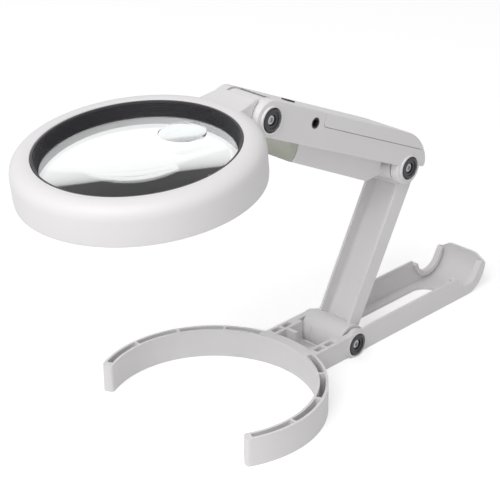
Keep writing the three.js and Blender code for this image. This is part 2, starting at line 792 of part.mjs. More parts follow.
// A thumb slide with cross ridges on its top.
function switchSolid() {
  const bottom = caseTop - switchWellDepth + seatGap;
  const top = caseTop + switchStandOut;
  const pitch = switchLength / (2 * switchRidgeCount - 1);
  const points = [[switchX, bottom], [switchX + switchLength, bottom]];
  for (let i = 2 * switchRidgeCount - 1; i > 0; i -= 1) {
    const height = i % 2 === 1 ? top : top - switchRidge;
    points.push([switchX + i * pitch, height], [switchX + (i - 1) * pitch, height]);
  }
  return across(outline(points), -switchHalfWidth, switchHalfWidth);
}

// Lens head

function headShellSolid() {
  const bottom = rimZ - headDepth;
  const inner = headOuterRadius - headSkin;
  const rim = turned([
    [headOuterRadius - headFootInset, bottom],
    [headOuterRadius, rimZ - headFootDepth],
    [headOuterRadius, rimZ - headHaunchDepth],
    [headOuterRadius - rimHaunchInset, rimZ - rimHaunchDepth],
    [rimShoulderRadius, rimZ - rimShoulderDepth],
    [rimCrownRadius, rimZ + rimCrownHeight],
    [rimInnerRadius, rimZ],
    [rimInnerRadius, rimZ - rimFoot],
    [rimCrownRadius, rimZ - rimFoot],
    [rimShoulderRadius - headSkin, rimZ - rimShoulderDepth - headSkin],
    [inner, rimZ - headHaunchDepth],
    [inner, bottom],
  ], ringX);
  return rim.add(headNeckSolid());
}

// The neck climbs from the rim to the hinge and carries the tongue between the cheeks.
function headNeckSolid() {
  const rootX = ringX + rimCrownRadius;
  const tipX = headHingeX - neckTipSetback;
  const outerX = ringX + headOuterRadius;
  const top = rimZ + neckTopRise;
  const bottom = headHingeZ - neckUnderside;
  const plan = outline([
    [rootX, -neckRootHalf],
    [outerX, -neckRootHalf],
    [tipX, -neckTipHalf],
    [tipX, neckTipHalf],
    [outerX, neckRootHalf],
    [rootX, neckRootHalf],
  ]);
  const side = outline([
    [rootX, bottom],
    [tipX, bottom],
    [tipX, top],
    [outerX + neckRampLength, top],
    [rootX, rimZ],
  ]);
  const inside = turned([
    [0, -overrun],
    [headOuterRadius - headSkin / 2, -overrun],
    [headOuterRadius - headSkin / 2, rimZ - headHaunchDepth],
    [rimCrownRadius, rimZ - rimFoot / 2],
    [rimCrownRadius, 2 * rimZ],
    [0, 2 * rimZ],
  ], ringX);
  const slotRoom = drum(headHinge, caseHeadRadius + turnGap, -caseHalfWidth, caseHalfWidth);
  const tongueX = headHingeX - caseHeadRadius - 2 * turnGap;
  const tongue = drum(headHinge, cheekRadius - seatGap, -tongueHalf, tongueHalf)
    .add(block(tongueX, headHingeX, -tongueHalf, tongueHalf, bottom, headHingeZ + caseHeadRadius / 2));
  const bore = drum(headHinge, boltBoreRadius, -caseHalfWidth, caseHalfWidth, smallFacets);
  const plate = raised(plan, bottom, top + overrun).intersect(across(side, -caseHalfWidth, caseHalfWidth));
  return plate.subtract(inside).subtract(slotRoom).add(tongue).subtract(bore);
}

// The black ring that frames the lens, stepped down its sloping inner face.
function bezelSolid() {
  const top = rimZ - seatGap;
  const low = rimZ - bezelDepth;
  const outer = rimInnerRadius - seatGap;
  const profile = [
    [outer, top],
    [outer, rimZ - bezelSkirtDepth],
    [lensRadius + seatGap, rimZ - bezelSkirtDepth],
    [lensRadius + seatGap, low],
    [bezelLowerRadius, low],
  ];
  const slope = outer - bezelLip - bezelLowerRadius;
  for (let i = 1; i <= bezelStepCount; i += 1) {
    const share = i / (bezelStepCount + 1);
    const height = low + share * (top - low);
    profile.push([bezelLowerRadius + share * slope - bezelStep, height]);
    profile.push([bezelLowerRadius + share * slope, height]);
  }
  profile.push([outer - bezelLip, top]);
  return turned(profile, ringX);
}

function domePoints(radius, base, rise, count) {
  const points = [];
  for (let i = 0; i <= count; i += 1) {
    const share = i / count;
    points.push([radius * (1 - share), base + rise * (1 - (1 - share) ** 2)]);
  }
  return points;
}

function lensSolid() {
  const top = rimZ - bezelDepth - seatGap;
  const bottom = top - lensEdgeThickness;
  const lower = domePoints(lensRadius, bottom, -lensLowerRise, boreFacets / 2).reverse();
  const upper = domePoints(lensRadius, top, lensUpperRise, boreFacets / 2);
  const points = [...lower, ...upper].map(([radius, height]) => new THREE.Vector2(radius, height));
  const geometry = new THREE.LatheGeometry(points, headFacets).rotateX(Math.PI / 2);
  const seat = insertSeat();
  const pocket = post(ringX + insertOffset, 0, insertRadius + seatGap, seat, rimZ, 2 * hingeFacets);
  return toSolid(geometry.translate(ringX, 0, 0)).subtract(pocket);
}

// Height of the flat seat that is sunk into the lens for the strong insert.
function insertSeat() {
  const share = insertOffset / lensRadius;
  return rimZ - bezelDepth - seatGap + lensUpperRise * (1 - share ** 2) - insertDepth;
}

function insertSolid() {
  const bottom = insertSeat() + seatGap;
  const edge = insertDepth + seatGap;
  const points = [[0, bottom], ...domePoints(insertRadius, bottom + edge, insertRise, boreFacets / 2)];
  points.splice(1, 0, [insertRadius, bottom]);
  const profile = points.map(([radius, height]) => new THREE.Vector2(radius, height));
  const geometry = new THREE.LatheGeometry(profile, 2 * hingeFacets).rotateX(Math.PI / 2);
  return toSolid(geometry.translate(ringX + insertOffset, 0, 0));
}

function ledPlaces() {
  const places = [];
  for (let i = 0; i < ledCount; i += 1) {
    const angle = radians(ledFirstDeg) + i * 2 * Math.PI / ledCount;
    places.push(ringPoint(ledCircleRadius, angle));
  }
  return places;
}

function lowerRingSolid() {
  const bottom = rimZ - headDepth;
  const plate = bottom + lowerRingPlate;
  const outer = headOuterRadius - headSkin - seatGap;
  const collarTop = rimZ - bezelDepth - 2 * seatGap - lensEdgeThickness;
  const ledgeTop = bottom + ledBoardHeight - seatGap;
  let ring = turned([
    [bezelLowerRadius, bottom],
    [outer, bottom],
    [outer, ledgeTop],
    [outer - ledBoardLedge, ledgeTop],
    [outer - ledBoardLedge, plate],
    [bezelLowerRadius + lowerRingCollar, plate],
    [bezelLowerRadius + lowerRingCollar, collarTop],
    [bezelLowerRadius, collarTop],
  ], ringX);
  for (const [x, y] of ledPlaces()) {
    ring = ring.subtract(post(x, y, ledRadius + seatGap, bottom - overrun, plate + overrun, boreFacets));
  }
  return ring;
}

function ledBoardSolid() {
  const bottom = rimZ - headDepth + ledBoardHeight;
  const outer = headOuterRadius - headSkin - 2 * seatGap;
  const inner = outer - ledBoardWidth;
  return turned([
    [inner, bottom],
    [outer, bottom],
    [outer, bottom + ledBoardThickness],
    [inner, bottom + ledBoardThickness],
  ], ringX);
}

function ledSolid(x, y) {
  const top = rimZ - headDepth + ledBoardHeight - seatGap;
  const tip = top - ledLength;
  const points = [
    [0, tip],
    [ledRadius / 2, tip + ledRadius / 4],
    [ledRadius, tip + ledRadius / 2],
    [ledRadius, top],
    [0, top],
  ];
  const profile = points.map(([radius, height]) => new THREE.Vector2(radius, height));
  return toSolid(new THREE.LatheGeometry(profile, boreFacets).rotateX(Math.PI / 2).translate(x, y, 0));
}

// Assembly

const lowerSwing = radians(openLowerDeg) - Math.asin(lowerArmRise / lowerArmLength);
const upperSwing = radians(openUpperDeg) - Math.PI + Math.asin(upperArmRise / upperArmLength);
const headSwing = radians(openHeadDeg);

const magnifier = new THREE.Group();
const stand = new THREE.Group();
const lowerArm = swung(baseHinge, lowerSwing);
const upperArm = swung(elbow, upperSwing - lowerSwing);
const head = swung(headHinge, headSwing - upperSwing);
magnifier.add(stand, lowerArm);
lowerArm.add(upperArm);
upperArm.add(head);

stand.add(piece("stand", standSolid(), "shell"));
stand.add(...hingeHardware("base_hinge", baseHinge, standCheekHalf, barrelHalf));

lowerArm.add(piece("lower_arm", lowerArmSolid(), "shell"));

upperArm.add(piece("battery_case", caseSolid(), "shell"));
upperArm.add(piece("battery_cover", doorSolid(), "cover"));
upperArm.add(piece("keel_nose", noseSolid(), "nose"));
upperArm.add(...hingeHardware("elbow_hinge", elbow, caseHalfWidth, armKnuckleHalf));
upperArm.add(...hingeHardware("head_hinge", headHinge, caseHalfWidth, tongueHalf));
for (let i = 0; i < cellCount; i += 1) {
  const y = (i - (cellCount - 1) / 2) * cellPitch;
  upperArm.add(piece(`cell_${i + 1}`, cellSolid(y), "cell"));
}
upperArm.add(piece("contact_front", contactSolid(true), "steel"));
upperArm.add(piece("contact_rear", contactSolid(false), "steel"));
upperArm.add(piece("power_inlet", inletSolid(), "black"));
upperArm.add(piece("switch_slide", switchSolid(), "black"));

head.add(piece("head_shell", headShellSolid(), "shell"));
head.add(piece("lens_bezel", bezelSolid(), "black"));
head.add(piece("main_lens", lensSolid(), "lens"));
head.add(piece("insert_lens", insertSolid(), "lens"));
head.add(piece("head_lower_ring", lowerRingSolid(), "shell"));
head.add(piece("led_board", ledBoardSolid(), "board"));
ledPlaces().forEach(([x, y], i) => head.add(piece(`led_${i + 1}`, ledSolid(x, y), "lamp")));

export default magnifier;
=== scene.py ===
"""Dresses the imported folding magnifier: smooth mouldings, hinge hardware, lenses, lamps, stage and camera."""

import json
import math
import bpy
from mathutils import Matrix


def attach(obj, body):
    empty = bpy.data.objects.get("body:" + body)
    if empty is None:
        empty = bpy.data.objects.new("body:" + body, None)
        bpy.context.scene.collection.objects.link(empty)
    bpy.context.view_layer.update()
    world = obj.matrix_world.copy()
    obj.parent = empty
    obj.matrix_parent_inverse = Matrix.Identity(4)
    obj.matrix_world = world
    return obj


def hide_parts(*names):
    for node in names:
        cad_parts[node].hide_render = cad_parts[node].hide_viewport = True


bl_info = {
    "name": "Folding Lighted Magnifier",
    "version": (1, 0, 0),
    "blender": (4, 5, 0),
    "location": "View3D > Sidebar > Magnifier",
    "description": "Models a round lighted magnifier on a two-link arm over a C-shaped stand",
    "category": "Add Mesh",
}

import bmesh
import bpy
from bpy.props import FloatProperty, FloatVectorProperty, IntProperty, PointerProperty
from mathutils import Matrix, Vector
from mathutils.geometry import interpolate_bezier

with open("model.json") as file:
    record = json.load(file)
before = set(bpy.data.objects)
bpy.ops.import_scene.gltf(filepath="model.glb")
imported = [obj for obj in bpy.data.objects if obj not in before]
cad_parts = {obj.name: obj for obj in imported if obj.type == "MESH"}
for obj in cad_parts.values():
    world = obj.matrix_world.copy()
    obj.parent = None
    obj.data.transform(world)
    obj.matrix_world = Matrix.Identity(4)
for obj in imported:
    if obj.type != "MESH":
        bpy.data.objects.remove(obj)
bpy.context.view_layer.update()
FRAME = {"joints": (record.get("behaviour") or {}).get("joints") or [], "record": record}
MM = 0.001
CUT = "DIFFERENCE"
JOIN = "UNION"
KEEP = "INTERSECT"

# Clearances and cutting, in millimetres
SEAT_GAP = 0.3
OVERRUN = 4.0
WELD = 0.0005
ANGLE_MATCH = 0.01

# Linkage heights and the head's angle, in millimetres and degrees
LOWER_RISE = 11.0
UPPER_RISE = 10.4
HEAD_ANGLE = 6.1

# Hinge stack
KNUCKLE_RADIUS = 11.0
CHEEK_RADIUS = 11.6
KNUCKLE_HALF = 13.6
TONGUE_HALF = 11.9
WASHER = 0.8
BOLT_HEAD_RADIUS = 3.1
BOLT_HEAD_THICK = 1.2
BOLT_ROUND = 0.5
CAP_RADIUS = 7.6
CAP_THICK = 2.6
CAP_BORE = 3.5
CAP_EDGE = 0.8
CAP_STEP_RADIUS = 5.4
CAP_STEP_DEPTH = 0.5
BOSS_RADIUS = 8.8
BOSS_HEIGHT = 1.4
RECESS_RADIUS = 7.9
PIN_RADIUS = 2.2
BOLT_BORE = 2.6
WASHER_RADIUS = 7.0
SOCKET_RADIUS = 1.6
SOCKET_DEPTH = 0.8
SOCKET_SIDES = 6

# Stand
RING_OUTER = 73.5
RING_WIDTH = 7.2
RING_HEIGHT = 19.4
RING_FLOOR = 2.4
RING_END = 118.0
RING_END_ROUND = 2.4
RING_RIB = 1.8
POCKET_ROUND = 0.8
STAND_HALF = 20.0
STAND_WALL = 16.6
STAND_FLOOR = 1.8
STAND_CHEEK_RADIUS = 10.3
STAND_CHEEK_HALF = 21.8
TROUGH_SKIN = 2.0
NECK_HALF = 23.2
NECK_HEIGHT = 17.7
NECK_PIT_HALF = 15.0
NECK_POCKET_INNER = 17.1
NECK_POCKET_OUTER = 21.0
NECK_POCKET_LENGTH = 7.0
NECK_POCKET_WEB = 2.6
NECK_POCKET_DEPTH = 12.0
NECK_POCKETS = 2
UNDER_BAR_HALF = 5.0
POST_LENGTH = 2.8
POST_SETBACK = 9.0
POST_FROM = 5.5
POST_TO = 13.2
POST_HEIGHT = 18.8
SLOT_HALF = 11.0
SLOT_START = 30.0
SLOT_INSET = 11.6
NOTCH_RADIUS = 12.6
NOTCH_RIM = 3.0
NOTCH_RIM_INSET = 2.6
NOTCH_MOUTH = 31.0
SHOULDER_TOP = 21.0
SHOULDER_LENGTH = 5.0
SCOOP_ARC = 45.0
SCOOP_SIDE = 19.2
SCOOP_CREST = 24.7
SCOOP_CREST_HALF = 11.4
SCOOP_ROUND = 2.0
LIP_START = 62.0
LIP_END = 107.0
LIP_WIDTH = 1.6
LIP_HEIGHT = 2.2

# Lower arm
BARREL_HALF = 17.2
BARREL_RADIUS = 12.0
BARREL_CORE = 6.6
BARREL_FROM = -46.0
BARREL_TO = 154.0
ARM_SKIN = 1.7
ARM_FLOOR = 1.5
ARM_ROOT_TOP = 13.3
ARM_TIP_TOP = 14.7
CHANNEL_ROUND = 2.4
GROOVE_PLACE = 8.6
GROOVE_HALF = 0.3
GROOVE_DEPTH = 0.4
HEEL_ARC = 26.0
FOLD_GAP = 0.4
TURN_GAP = 0.7

# Upper arm: battery case, cover, keel and nose
CASE_HALF = 20.5
CASE_EDGE = 1.0
CASE_BOTTOM = 19.8
CASE_HEAD_RADIUS = 12.0
CASE_HEEL_REACH = 16.4
CASE_HEEL_BOTTOM = 22.6
CASE_HEEL_ROUND = 2.0
CASE_HEEL_UPPER = 30.0
CASE_SHOULDER_REACH = 8.5
CASE_SHOULDER_DROP = 1.9
CASE_TOP_BACK = 7.5
KEEL_HALF = 11.4
KEEL_FRONT = 7.2
KEEL_REAR = 4.7
KEEL_SETBACK = 28.0
KEEL_SLOPE = 14.0
KEEL_RISE = 7.5
NOSE_LENGTH = 17.0
NOSE_START = 4.0
NOSE_ROUND = 5.0
NOSE_BACK = Vector((5.0, 0, 14.5))
NOSE_BACK_RADIUS = 11.7
DOOR_START = 23.5
DOOR_BOTTOM = 33.7
DOOR_SKIN = 2.0
DOOR_ROUND = 3.0

# Cells, contacts, inlet and switch
CELL_RADIUS = 5.25
CELL_LENGTH = 43.2
CELL_NUB_RADIUS = 1.9
CELL_NUB_LENGTH = 1.3
CELL_PITCH = 11.2
CELL_COUNT = 3
CELL_ROUND = 0.5
CELL_NUB_ROUND = 0.4
BAY_START = 34.0
BAY_FLOOR = 27.6
BAY_HALF = 17.6
CONTACT_THICK = 0.6
CONTACT_HEIGHT = 9.0
CONTACT_ROOM = 2.6
INLET = Vector((15.3, 0, 34.6))
INLET_RADIUS = 3.3
INLET_BORE = 2.5
INLET_PIN = 0.9
INLET_DEPTH = 8.0
INLET_BACK = 1.4
INLET_ROUND = 0.3
INLET_PIN_ROUND = 0.35
SWITCH_START = 5.0
SWITCH_TRAVEL = 4.0
SWITCH_LENGTH = 7.0
SWITCH_HALF = 2.6
SWITCH_WELL = 2.6
SWITCH_PROUD = 0.9
SWITCH_RIDGE = 0.5
SWITCH_RIDGES = 4

# Lens head: radii, and depths below the rim plane
HEAD_REACH = 87.0
HEAD_OUTER = 73.4
HEAD_DEPTH = 24.0
HEAD_SKIN = 2.3
CROWN_RADIUS = 64.4
CROWN_RISE = 0.5
CROWN_HANDLE = 70.0
CROWN_HANDLE_DEPTH = 0.3
WALL_HANDLE_DEPTH = 3.2
RIM_INNER = 60.6
RIM_FOOT = 1.6
HAUNCH_DEPTH = 9.0
FOOT_DEPTH = 21.5
FOOT_INSET = 0.3
BEZEL_LOWER = 56.7
BEZEL_DEPTH = 9.4
BEZEL_LIP = 1.1
BEZEL_SKIRT = 14.0
BEZEL_STEP = 0.35
LENS_RADIUS = 58.1
LENS_EDGE = 3.0
LENS_RISE = 5.6
LENS_DROP = 3.6
INSERT_RADIUS = 14.0
INSERT_OFFSET = 35.0
INSERT_DEPTH = 1.4
INSERT_GAP = 0.3
INSERT_RISE = 0.9
LOWER_INNER = 56.8
LOWER_PLATE = 1.8
COLLAR_WALL = 1.3
BOARD_INNER = 61.4
BOARD_THICK = 1.6
BOARD_LEDGE = 1.4
BOARD_HEIGHT = 3.1
LAMP_COUNT = 8
LAMP_RADIUS = 2.4
LAMP_CIRCLE = 65.2
LAMP_LENGTH = 2.6
LAMP_FIRST = 22.5
LAMP_ARC = 15
NECK_ROOT_HALF = 17.5
NECK_TIP_HALF = 15.4
NECK_TIP_SETBACK = 1.2
NECK_TOP_RISE = 0.8
NECK_RAMP = 7.0
NECK_TIP_TOP = 10.6
NECK_ROUND = 2.0
NECK_UNDERSIDE = 7.4

# Round shapes and rounded edges
SLIDE_EDGE = 0.12
PLATE_ROUND = 0.25
FINE_STEPS = 160
ROUND_STEPS = 64
SMALL_STEPS = 32
EDGE_SEGMENTS = 3
SLAB_SEGMENTS = 4
BAR_SEGMENTS = 5
TURNED_SEGMENTS = 6
CORNER_SEGMENTS = 8
SOFT_SEGMENTS = 2
SMOOTH_ANGLE = 32.0

# Surface patterns, in millimetres; grain, lathe rings and weave are drawn coarser than real, to show at all
CLOUD_WIDTH = 38.0
WEAR_WIDTH = 0.5
WEAR_PATCH = 5.0
SHELL_GRAIN = 0.35
BLACK_GRAIN = 0.25
GRAIN_DEPTH = 0.03
WIPE_LENGTH = 20.0
WIPE_STRETCH = 12.0
WIPE_DEPTH = 0.01
PLATING_PATCH = 4.0
LATHE_PITCH = 0.2
LATHE_DEPTH = 0.01
WEAVE_PITCH = 3.77
WEAVE_DEPTH = 0.02
EPOXY_CLOUD = 1.5
EPOXY_DEPTH = 0.02
WRAP_RIPPLE = 9.0
WRAP_DEPTH = 0.05
SHEET_GRAIN = 3.0

# How far a finish strays to each side of its own colour, as a share
ABS_SHADE = 0.025
RUBBED_SHADE = 0.12
ACRYLIC_CLEAR = 0.01
ACRYLIC_SHADE = 0.03
PLATING_SHADE = 0.08
LAMINATE_SHADE = 0.15
EPOXY_SHADE = 0.06
WRAP_SHADE = 0.1

# Edge wear: how squarely an edge and a sharp corner face their eased shape, and how much shows at most
EDGE_FACING = 0.995
CORNER_FACING = 0.9
RUBBED_SHARE = 0.35

# A wave texture's bands repeat once in tau / WAVE_RATE at scale 1
WAVE_RATE = 20

# Stage, in metres; the camera's place is in millimetres
WHITE = (1, 1, 1, 1)
SHEET_DARK = (0.8, 0.8, 0.8, 1)
SHEET_LIGHT = (0.82, 0.82, 0.82, 1)
FLOOR_HALF = 4.0
FLOOR_LIFT = 0.45
KEY_SIZE = 1.4
KEY_PLACE = (-1.3, -0.3, 1.45)
KEY_AIM = (0.0, 0.0, 0.08)
CAMERA_PLACE = (-757.5, -674.0, 557.6)
CAMERA_FORWARD = (0.6403, 0.6346, -0.4328)
CAMERA_RIGHT = (0.7015, -0.7126, -0.007)
CAMERA_DOWN = (-0.3129, -0.2991, -0.9014)


def joint_place(name):
    """Hinge position in millimetres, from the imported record."""
    found = [j for j in FRAME["joints"] if j["name"] == name][0]
    return Vector(found["pos_m"]) / MM


BASE_HINGE = joint_place("base_hinge")
OPEN_ELBOW = joint_place("elbow_hinge")
OPEN_HEAD_HINGE = joint_place("head_fold")


def lean(vector):
    """Angle of a side view vector above +X, in radians."""
    return math.atan2(vector.z, vector.x)


LOWER_ARM = OPEN_ELBOW - BASE_HINGE
UPPER_ARM = OPEN_HEAD_HINGE - OPEN_ELBOW
ELBOW = BASE_HINGE + Vector((math.sqrt(LOWER_ARM.length ** 2 - LOWER_RISE ** 2), 0, LOWER_RISE))
HEAD_HINGE = ELBOW + Vector((-math.sqrt(UPPER_ARM.length ** 2 - UPPER_RISE ** 2), 0, UPPER_RISE))

RING_X = HEAD_HINGE.x - HEAD_REACH
RING_CENTRE = Vector((RING_X, 0, 0))
RING_INNER = RING_OUTER - RING_WIDTH
RIM_Z = RING_HEIGHT + SEAT_GAP + HEAD_DEPTH
HEAD_FOOT_Z = RIM_Z - HEAD_DEPTH
CASE_TOP = HEAD_HINGE.z + CASE_HEAD_RADIUS
ARM_CHEEK_INNER = KNUCKLE_HALF + WASHER + 2 * SEAT_GAP
BASE_CHEEK_INNER = BARREL_HALF + WASHER + 2 * SEAT_GAP
HEAD_CHEEK_INNER = TONGUE_HALF + WASHER + 2 * SEAT_GAP
ARM_BOTTOM = STAND_FLOOR + FOLD_GAP
HEEL_RADIUS = ELBOW.z - ARM_BOTTOM
RECESS_DEPTH = CAP_THICK + SEAT_GAP
BAY_END = BAY_START + CELL_LENGTH + CELL_NUB_LENGTH + 2 * CONTACT_ROOM
LENS_TOP = RIM_Z - BEZEL_DEPTH - SEAT_GAP
UPWARD = Vector((0, 0, 1))
SIDEWAYS = Vector((0, 1, 0))
# Each hinge: its pivot, the half widths of its faces and of its knuckle, and how far its caps are turned
HINGES = (
    ("base_hinge", BASE_HINGE, STAND_CHEEK_HALF, BARREL_HALF, 11),
    ("elbow_hinge", ELBOW, CASE_HALF, KNUCKLE_HALF, 3),
    ("head_hinge", HEAD_HINGE, CASE_HALF, TONGUE_HALF, -9),
)
BODY_OF = {part: body for body, parts in FRAME["record"]["behaviour"]["bodies"].items() for part in parts}


def opened(shut_pivot, open_pivot, angle):
    """Takes a body from the closed layout in millimetres to its open place in metres."""
    turn = Matrix.Rotation(-angle, 4, "Y")
    return Matrix.Scale(MM, 4) @ Matrix.Translation(open_pivot) @ turn @ Matrix.Translation(-shut_pivot)


LOWER_TURN = lean(LOWER_ARM) - lean(ELBOW - BASE_HINGE)
UPPER_TURN = lean(UPPER_ARM) - lean(HEAD_HINGE - ELBOW)
HEAD_TURN = math.radians(HEAD_ANGLE)
UPPER_PLACE = opened(ELBOW, OPEN_ELBOW, UPPER_TURN)
PLACES = {
    "stand": Matrix.Scale(MM, 4),
    "lower_arm": opened(BASE_HINGE, BASE_HINGE, LOWER_TURN),
    "upper_arm": UPPER_PLACE,
    "battery_cover": UPPER_PLACE,
    "switch": UPPER_PLACE,
    "lens_head": opened(HEAD_HINGE, OPEN_HEAD_HINGE, HEAD_TURN),
}


def flat(x, z):
    """A point of a side outline."""
    return Vector((x, 0, z))


def plan(x, y):
    """A point of a plan outline."""
    return Vector((x, y, 0))


def facing(y, z):
    """A point of an end outline."""
    return Vector((0, y, z))


def around(centre, radius, degrees):
    """A point of a side outline, at an angle above +X about a centre."""
    angle = math.radians(degrees)
    return centre + Vector((radius * math.cos(angle), 0, radius * math.sin(angle)))


def rise_angle(height, radius):
    """Angle in degrees at which a circle reaches a height above its centre."""
    return math.degrees(math.asin(height / radius))


# The axis that an outline's turns go about in each view, and the one that the outline is run along
VIEW_AXES = {"side": Vector((0, -1, 0)), "plan": Vector((0, 0, 1)), "end": Vector((1, 0, 0))}
RUN_AXES = {"side": Vector((0, 1, 0)), "plan": Vector((0, 0, 1)), "end": Vector((1, 0, 0))}


def traced(view, start, path):
    """A flat face edged by a moving point: on to a place, turned about a centre, or eased along a curve."""
    bm = bmesh.new()
    tip = bm.verts.new(start)
    for step in path:
        if step[0] == "turn":
            count = max(2, round(abs(step[2]) / 360 * ROUND_STEPS))
            turned = bmesh.ops.spin(bm, geom=[tip], cent=step[1], axis=VIEW_AXES[view], dvec=Vector(),
                                    angle=math.radians(step[2]), steps=count, use_duplicate=False)
            tip = [g for g in turned["geom_last"] if isinstance(g, bmesh.types.BMVert)][0]
            continue
        places = [step]
        if step[0] == "ease":
            places = interpolate_bezier(tip.co, step[1], step[2], step[3], ROUND_STEPS // 4)[1:]
        for place in places:
            tip = bmesh.ops.extrude_vert_indiv(bm, verts=[tip])["verts"][0]
            tip.co = place
    bmesh.ops.remove_doubles(bm, verts=bm.verts, dist=WELD)
    ends = [v for v in bm.verts if len(v.link_edges) == 1]
    if len(ends) == 2:
        bm.edges.new(ends)
    bmesh.ops.contextual_create(bm, geom=bm.edges[:])
    return bm


def rounded(bm, geom, offset, segments, affect="EDGES"):
    """Rounds edges or corners evenly."""
    bmesh.ops.bevel(bm, geom=geom, offset=offset, offset_type="OFFSET", segments=segments, profile=0.5,
                    affect=affect, material=-1, clamp_overlap=True)


def slab(view, low, high, start, *path, edge=0.0, corners=0.0):
    """A traced outline run across the part, with rounded corners and rounded edges where asked."""
    bm = traced(view, start, path)
    if corners:
        rounded(bm, bm.verts[:], corners, CORNER_SEGMENTS, "VERTICES")
    run = RUN_AXES[view]
    bmesh.ops.translate(bm, verts=bm.verts, vec=run * low)
    grown = bmesh.ops.extrude_face_region(bm, geom=bm.faces[:])["geom"]
    fresh = [g for g in grown if isinstance(g, bmesh.types.BMVert)]
    bmesh.ops.translate(bm, verts=fresh, vec=run * (high - low))
    bmesh.ops.recalc_face_normals(bm, faces=bm.faces)
    if edge:
        rims = [e for e in bm.edges if abs((e.verts[0].co - e.verts[1].co).dot(run)) < WELD]
        rounded(bm, rims, edge, SLAB_SEGMENTS)
    return bm


def box(x0, x1, y0, y1, z0, z1, edge=0.0):
    """A straight block between six planes."""
    bm = bmesh.new()
    bmesh.ops.create_cube(bm, size=1)
    bmesh.ops.scale(bm, verts=bm.verts, vec=Vector((x1 - x0, y1 - y0, z1 - z0)))
    bmesh.ops.translate(bm, verts=bm.verts, vec=Vector(((x0 + x1) / 2, (y0 + y1) / 2, (z0 + z1) / 2)))
    if edge:
        rounded(bm, bm.edges[:], edge, EDGE_SEGMENTS)
    return bm


def rod(radius, length, steps):
    """A round or many-sided rod about the origin, along z."""
    bm = bmesh.new()
    bmesh.ops.create_cone(bm, cap_ends=True, segments=steps, radius1=radius, radius2=radius, depth=length)
    return bm


def drum(pivot, radius, low, high, steps=ROUND_STEPS, edge=0.0, spin=0.0):
    """A disc, rod or many-sided plug on a hinge axis, which runs along y."""
    bm = rod(radius, high - low, steps)
    turn = Matrix.Rotation(math.radians(spin), 4, "Y") @ Matrix.Rotation(math.radians(90), 4, "X")
    middle = Matrix.Translation(Vector((pivot.x, (low + high) / 2, pivot.z)))
    bmesh.ops.transform(bm, matrix=middle @ turn, verts=bm.verts)
    if edge:
        rims = [e for e in bm.edges if abs(e.verts[0].co.y - e.verts[1].co.y) < WELD]
        rounded(bm, rims, edge, EDGE_SEGMENTS)
    return bm


def post(x, y, radius, low, high, steps=ROUND_STEPS):
    """A disc or rod that stands upright."""
    bm = rod(radius, high - low, steps)
    bmesh.ops.translate(bm, verts=bm.verts, vec=Vector((x, y, (low + high) / 2)))
    return bm


def turned(profile, centre, axis, steps, round_points=()):
    """A closed profile turned right round; each numbered point is rounded by the length beside it."""
    bm = bmesh.new()
    corners = [bm.verts.new(p) for p in profile]
    bm.faces.new(corners)
    for number, length in round_points:
        rounded(bm, [corners[number]], length, TURNED_SEGMENTS, "VERTICES")
    edges = bm.edges[:]
    bmesh.ops.delete(bm, geom=bm.faces[:], context="FACES_ONLY")
    bmesh.ops.spin(bm, geom=bm.verts[:] + edges, cent=centre, axis=axis, dvec=Vector(),
                   angle=math.tau, steps=steps, use_merge=True, use_duplicate=False)
    bmesh.ops.remove_doubles(bm, verts=bm.verts, dist=WELD)
    bmesh.ops.dissolve_degenerate(bm, dist=WELD, edges=bm.edges)
    bmesh.ops.recalc_face_normals(bm, faces=bm.faces)
    return bm


def upright(pairs, centre_x):
    """Profile points at [radius, height] beside an upright axis."""
    return [Vector((centre_x + radius, 0, height)) for radius, height in pairs]


def swept(profile, centre, low, high, steps):
    """A closed profile turned about an upright axis between two angles in degrees."""
    bm = bmesh.new()
    bm.faces.new([bm.verts.new(p) for p in profile])
    turn = Matrix.Rotation(math.radians(low), 4, "Z")
    start = Matrix.Translation(centre) @ turn @ Matrix.Translation(-centre)
    bmesh.ops.transform(bm, matrix=start, verts=bm.verts)
    bmesh.ops.spin(bm, geom=bm.faces[:], cent=centre, axis=UPWARD, dvec=Vector(),
                   angle=math.radians(high - low), steps=steps, use_duplicate=False)
    bmesh.ops.recalc_face_normals(bm, faces=bm.faces)
    return bm


def placed(name, data):
    """Puts a mesh, camera or lamp into the scene as an object."""
    thing = bpy.data.objects.new(name, data)
    bpy.context.scene.collection.objects.link(thing)
    return thing


def held(bm, name):
    """A bmesh put into the scene as an object, still in the closed layout."""
    mesh = bpy.data.meshes.new(name)
    bm.to_mesh(mesh)
    bm.free()
    return placed(name, mesh)


def shaped(bm, name, steps):
    """Works on a solid in turn; each step pairs CUT, JOIN or KEEP with a second solid."""
    base = held(bm, name)
    tools = []
    for operation, tool in steps:
        cutter = held(tool, name + "_tool")
        tools.append(cutter)
        change = base.modifiers.new(operation.lower(), "BOOLEAN")
        change.operation = operation
        change.solver = "EXACT"
        change.object = cutter
    bpy.context.view_layer.update()
    mesh = bpy.data.meshes.new_from_object(base.evaluated_get(bpy.context.evaluated_depsgraph_get()))
    result = bmesh.new()
    result.from_mesh(mesh)
    for thing in [base] + tools:
        bpy.data.objects.remove(thing)
    bpy.data.meshes.remove(mesh)
    bmesh.ops.remove_doubles(result, verts=result.verts, dist=WELD)
    bmesh.ops.dissolve_degenerate(result, dist=WELD, edges=result.edges)
    return result


# Stand

def bearing(vertex):
    """Angle of a point round the ring's axis, in degrees."""
    return math.degrees(math.atan2(vertex.co.y, vertex.co.x - RING_X))


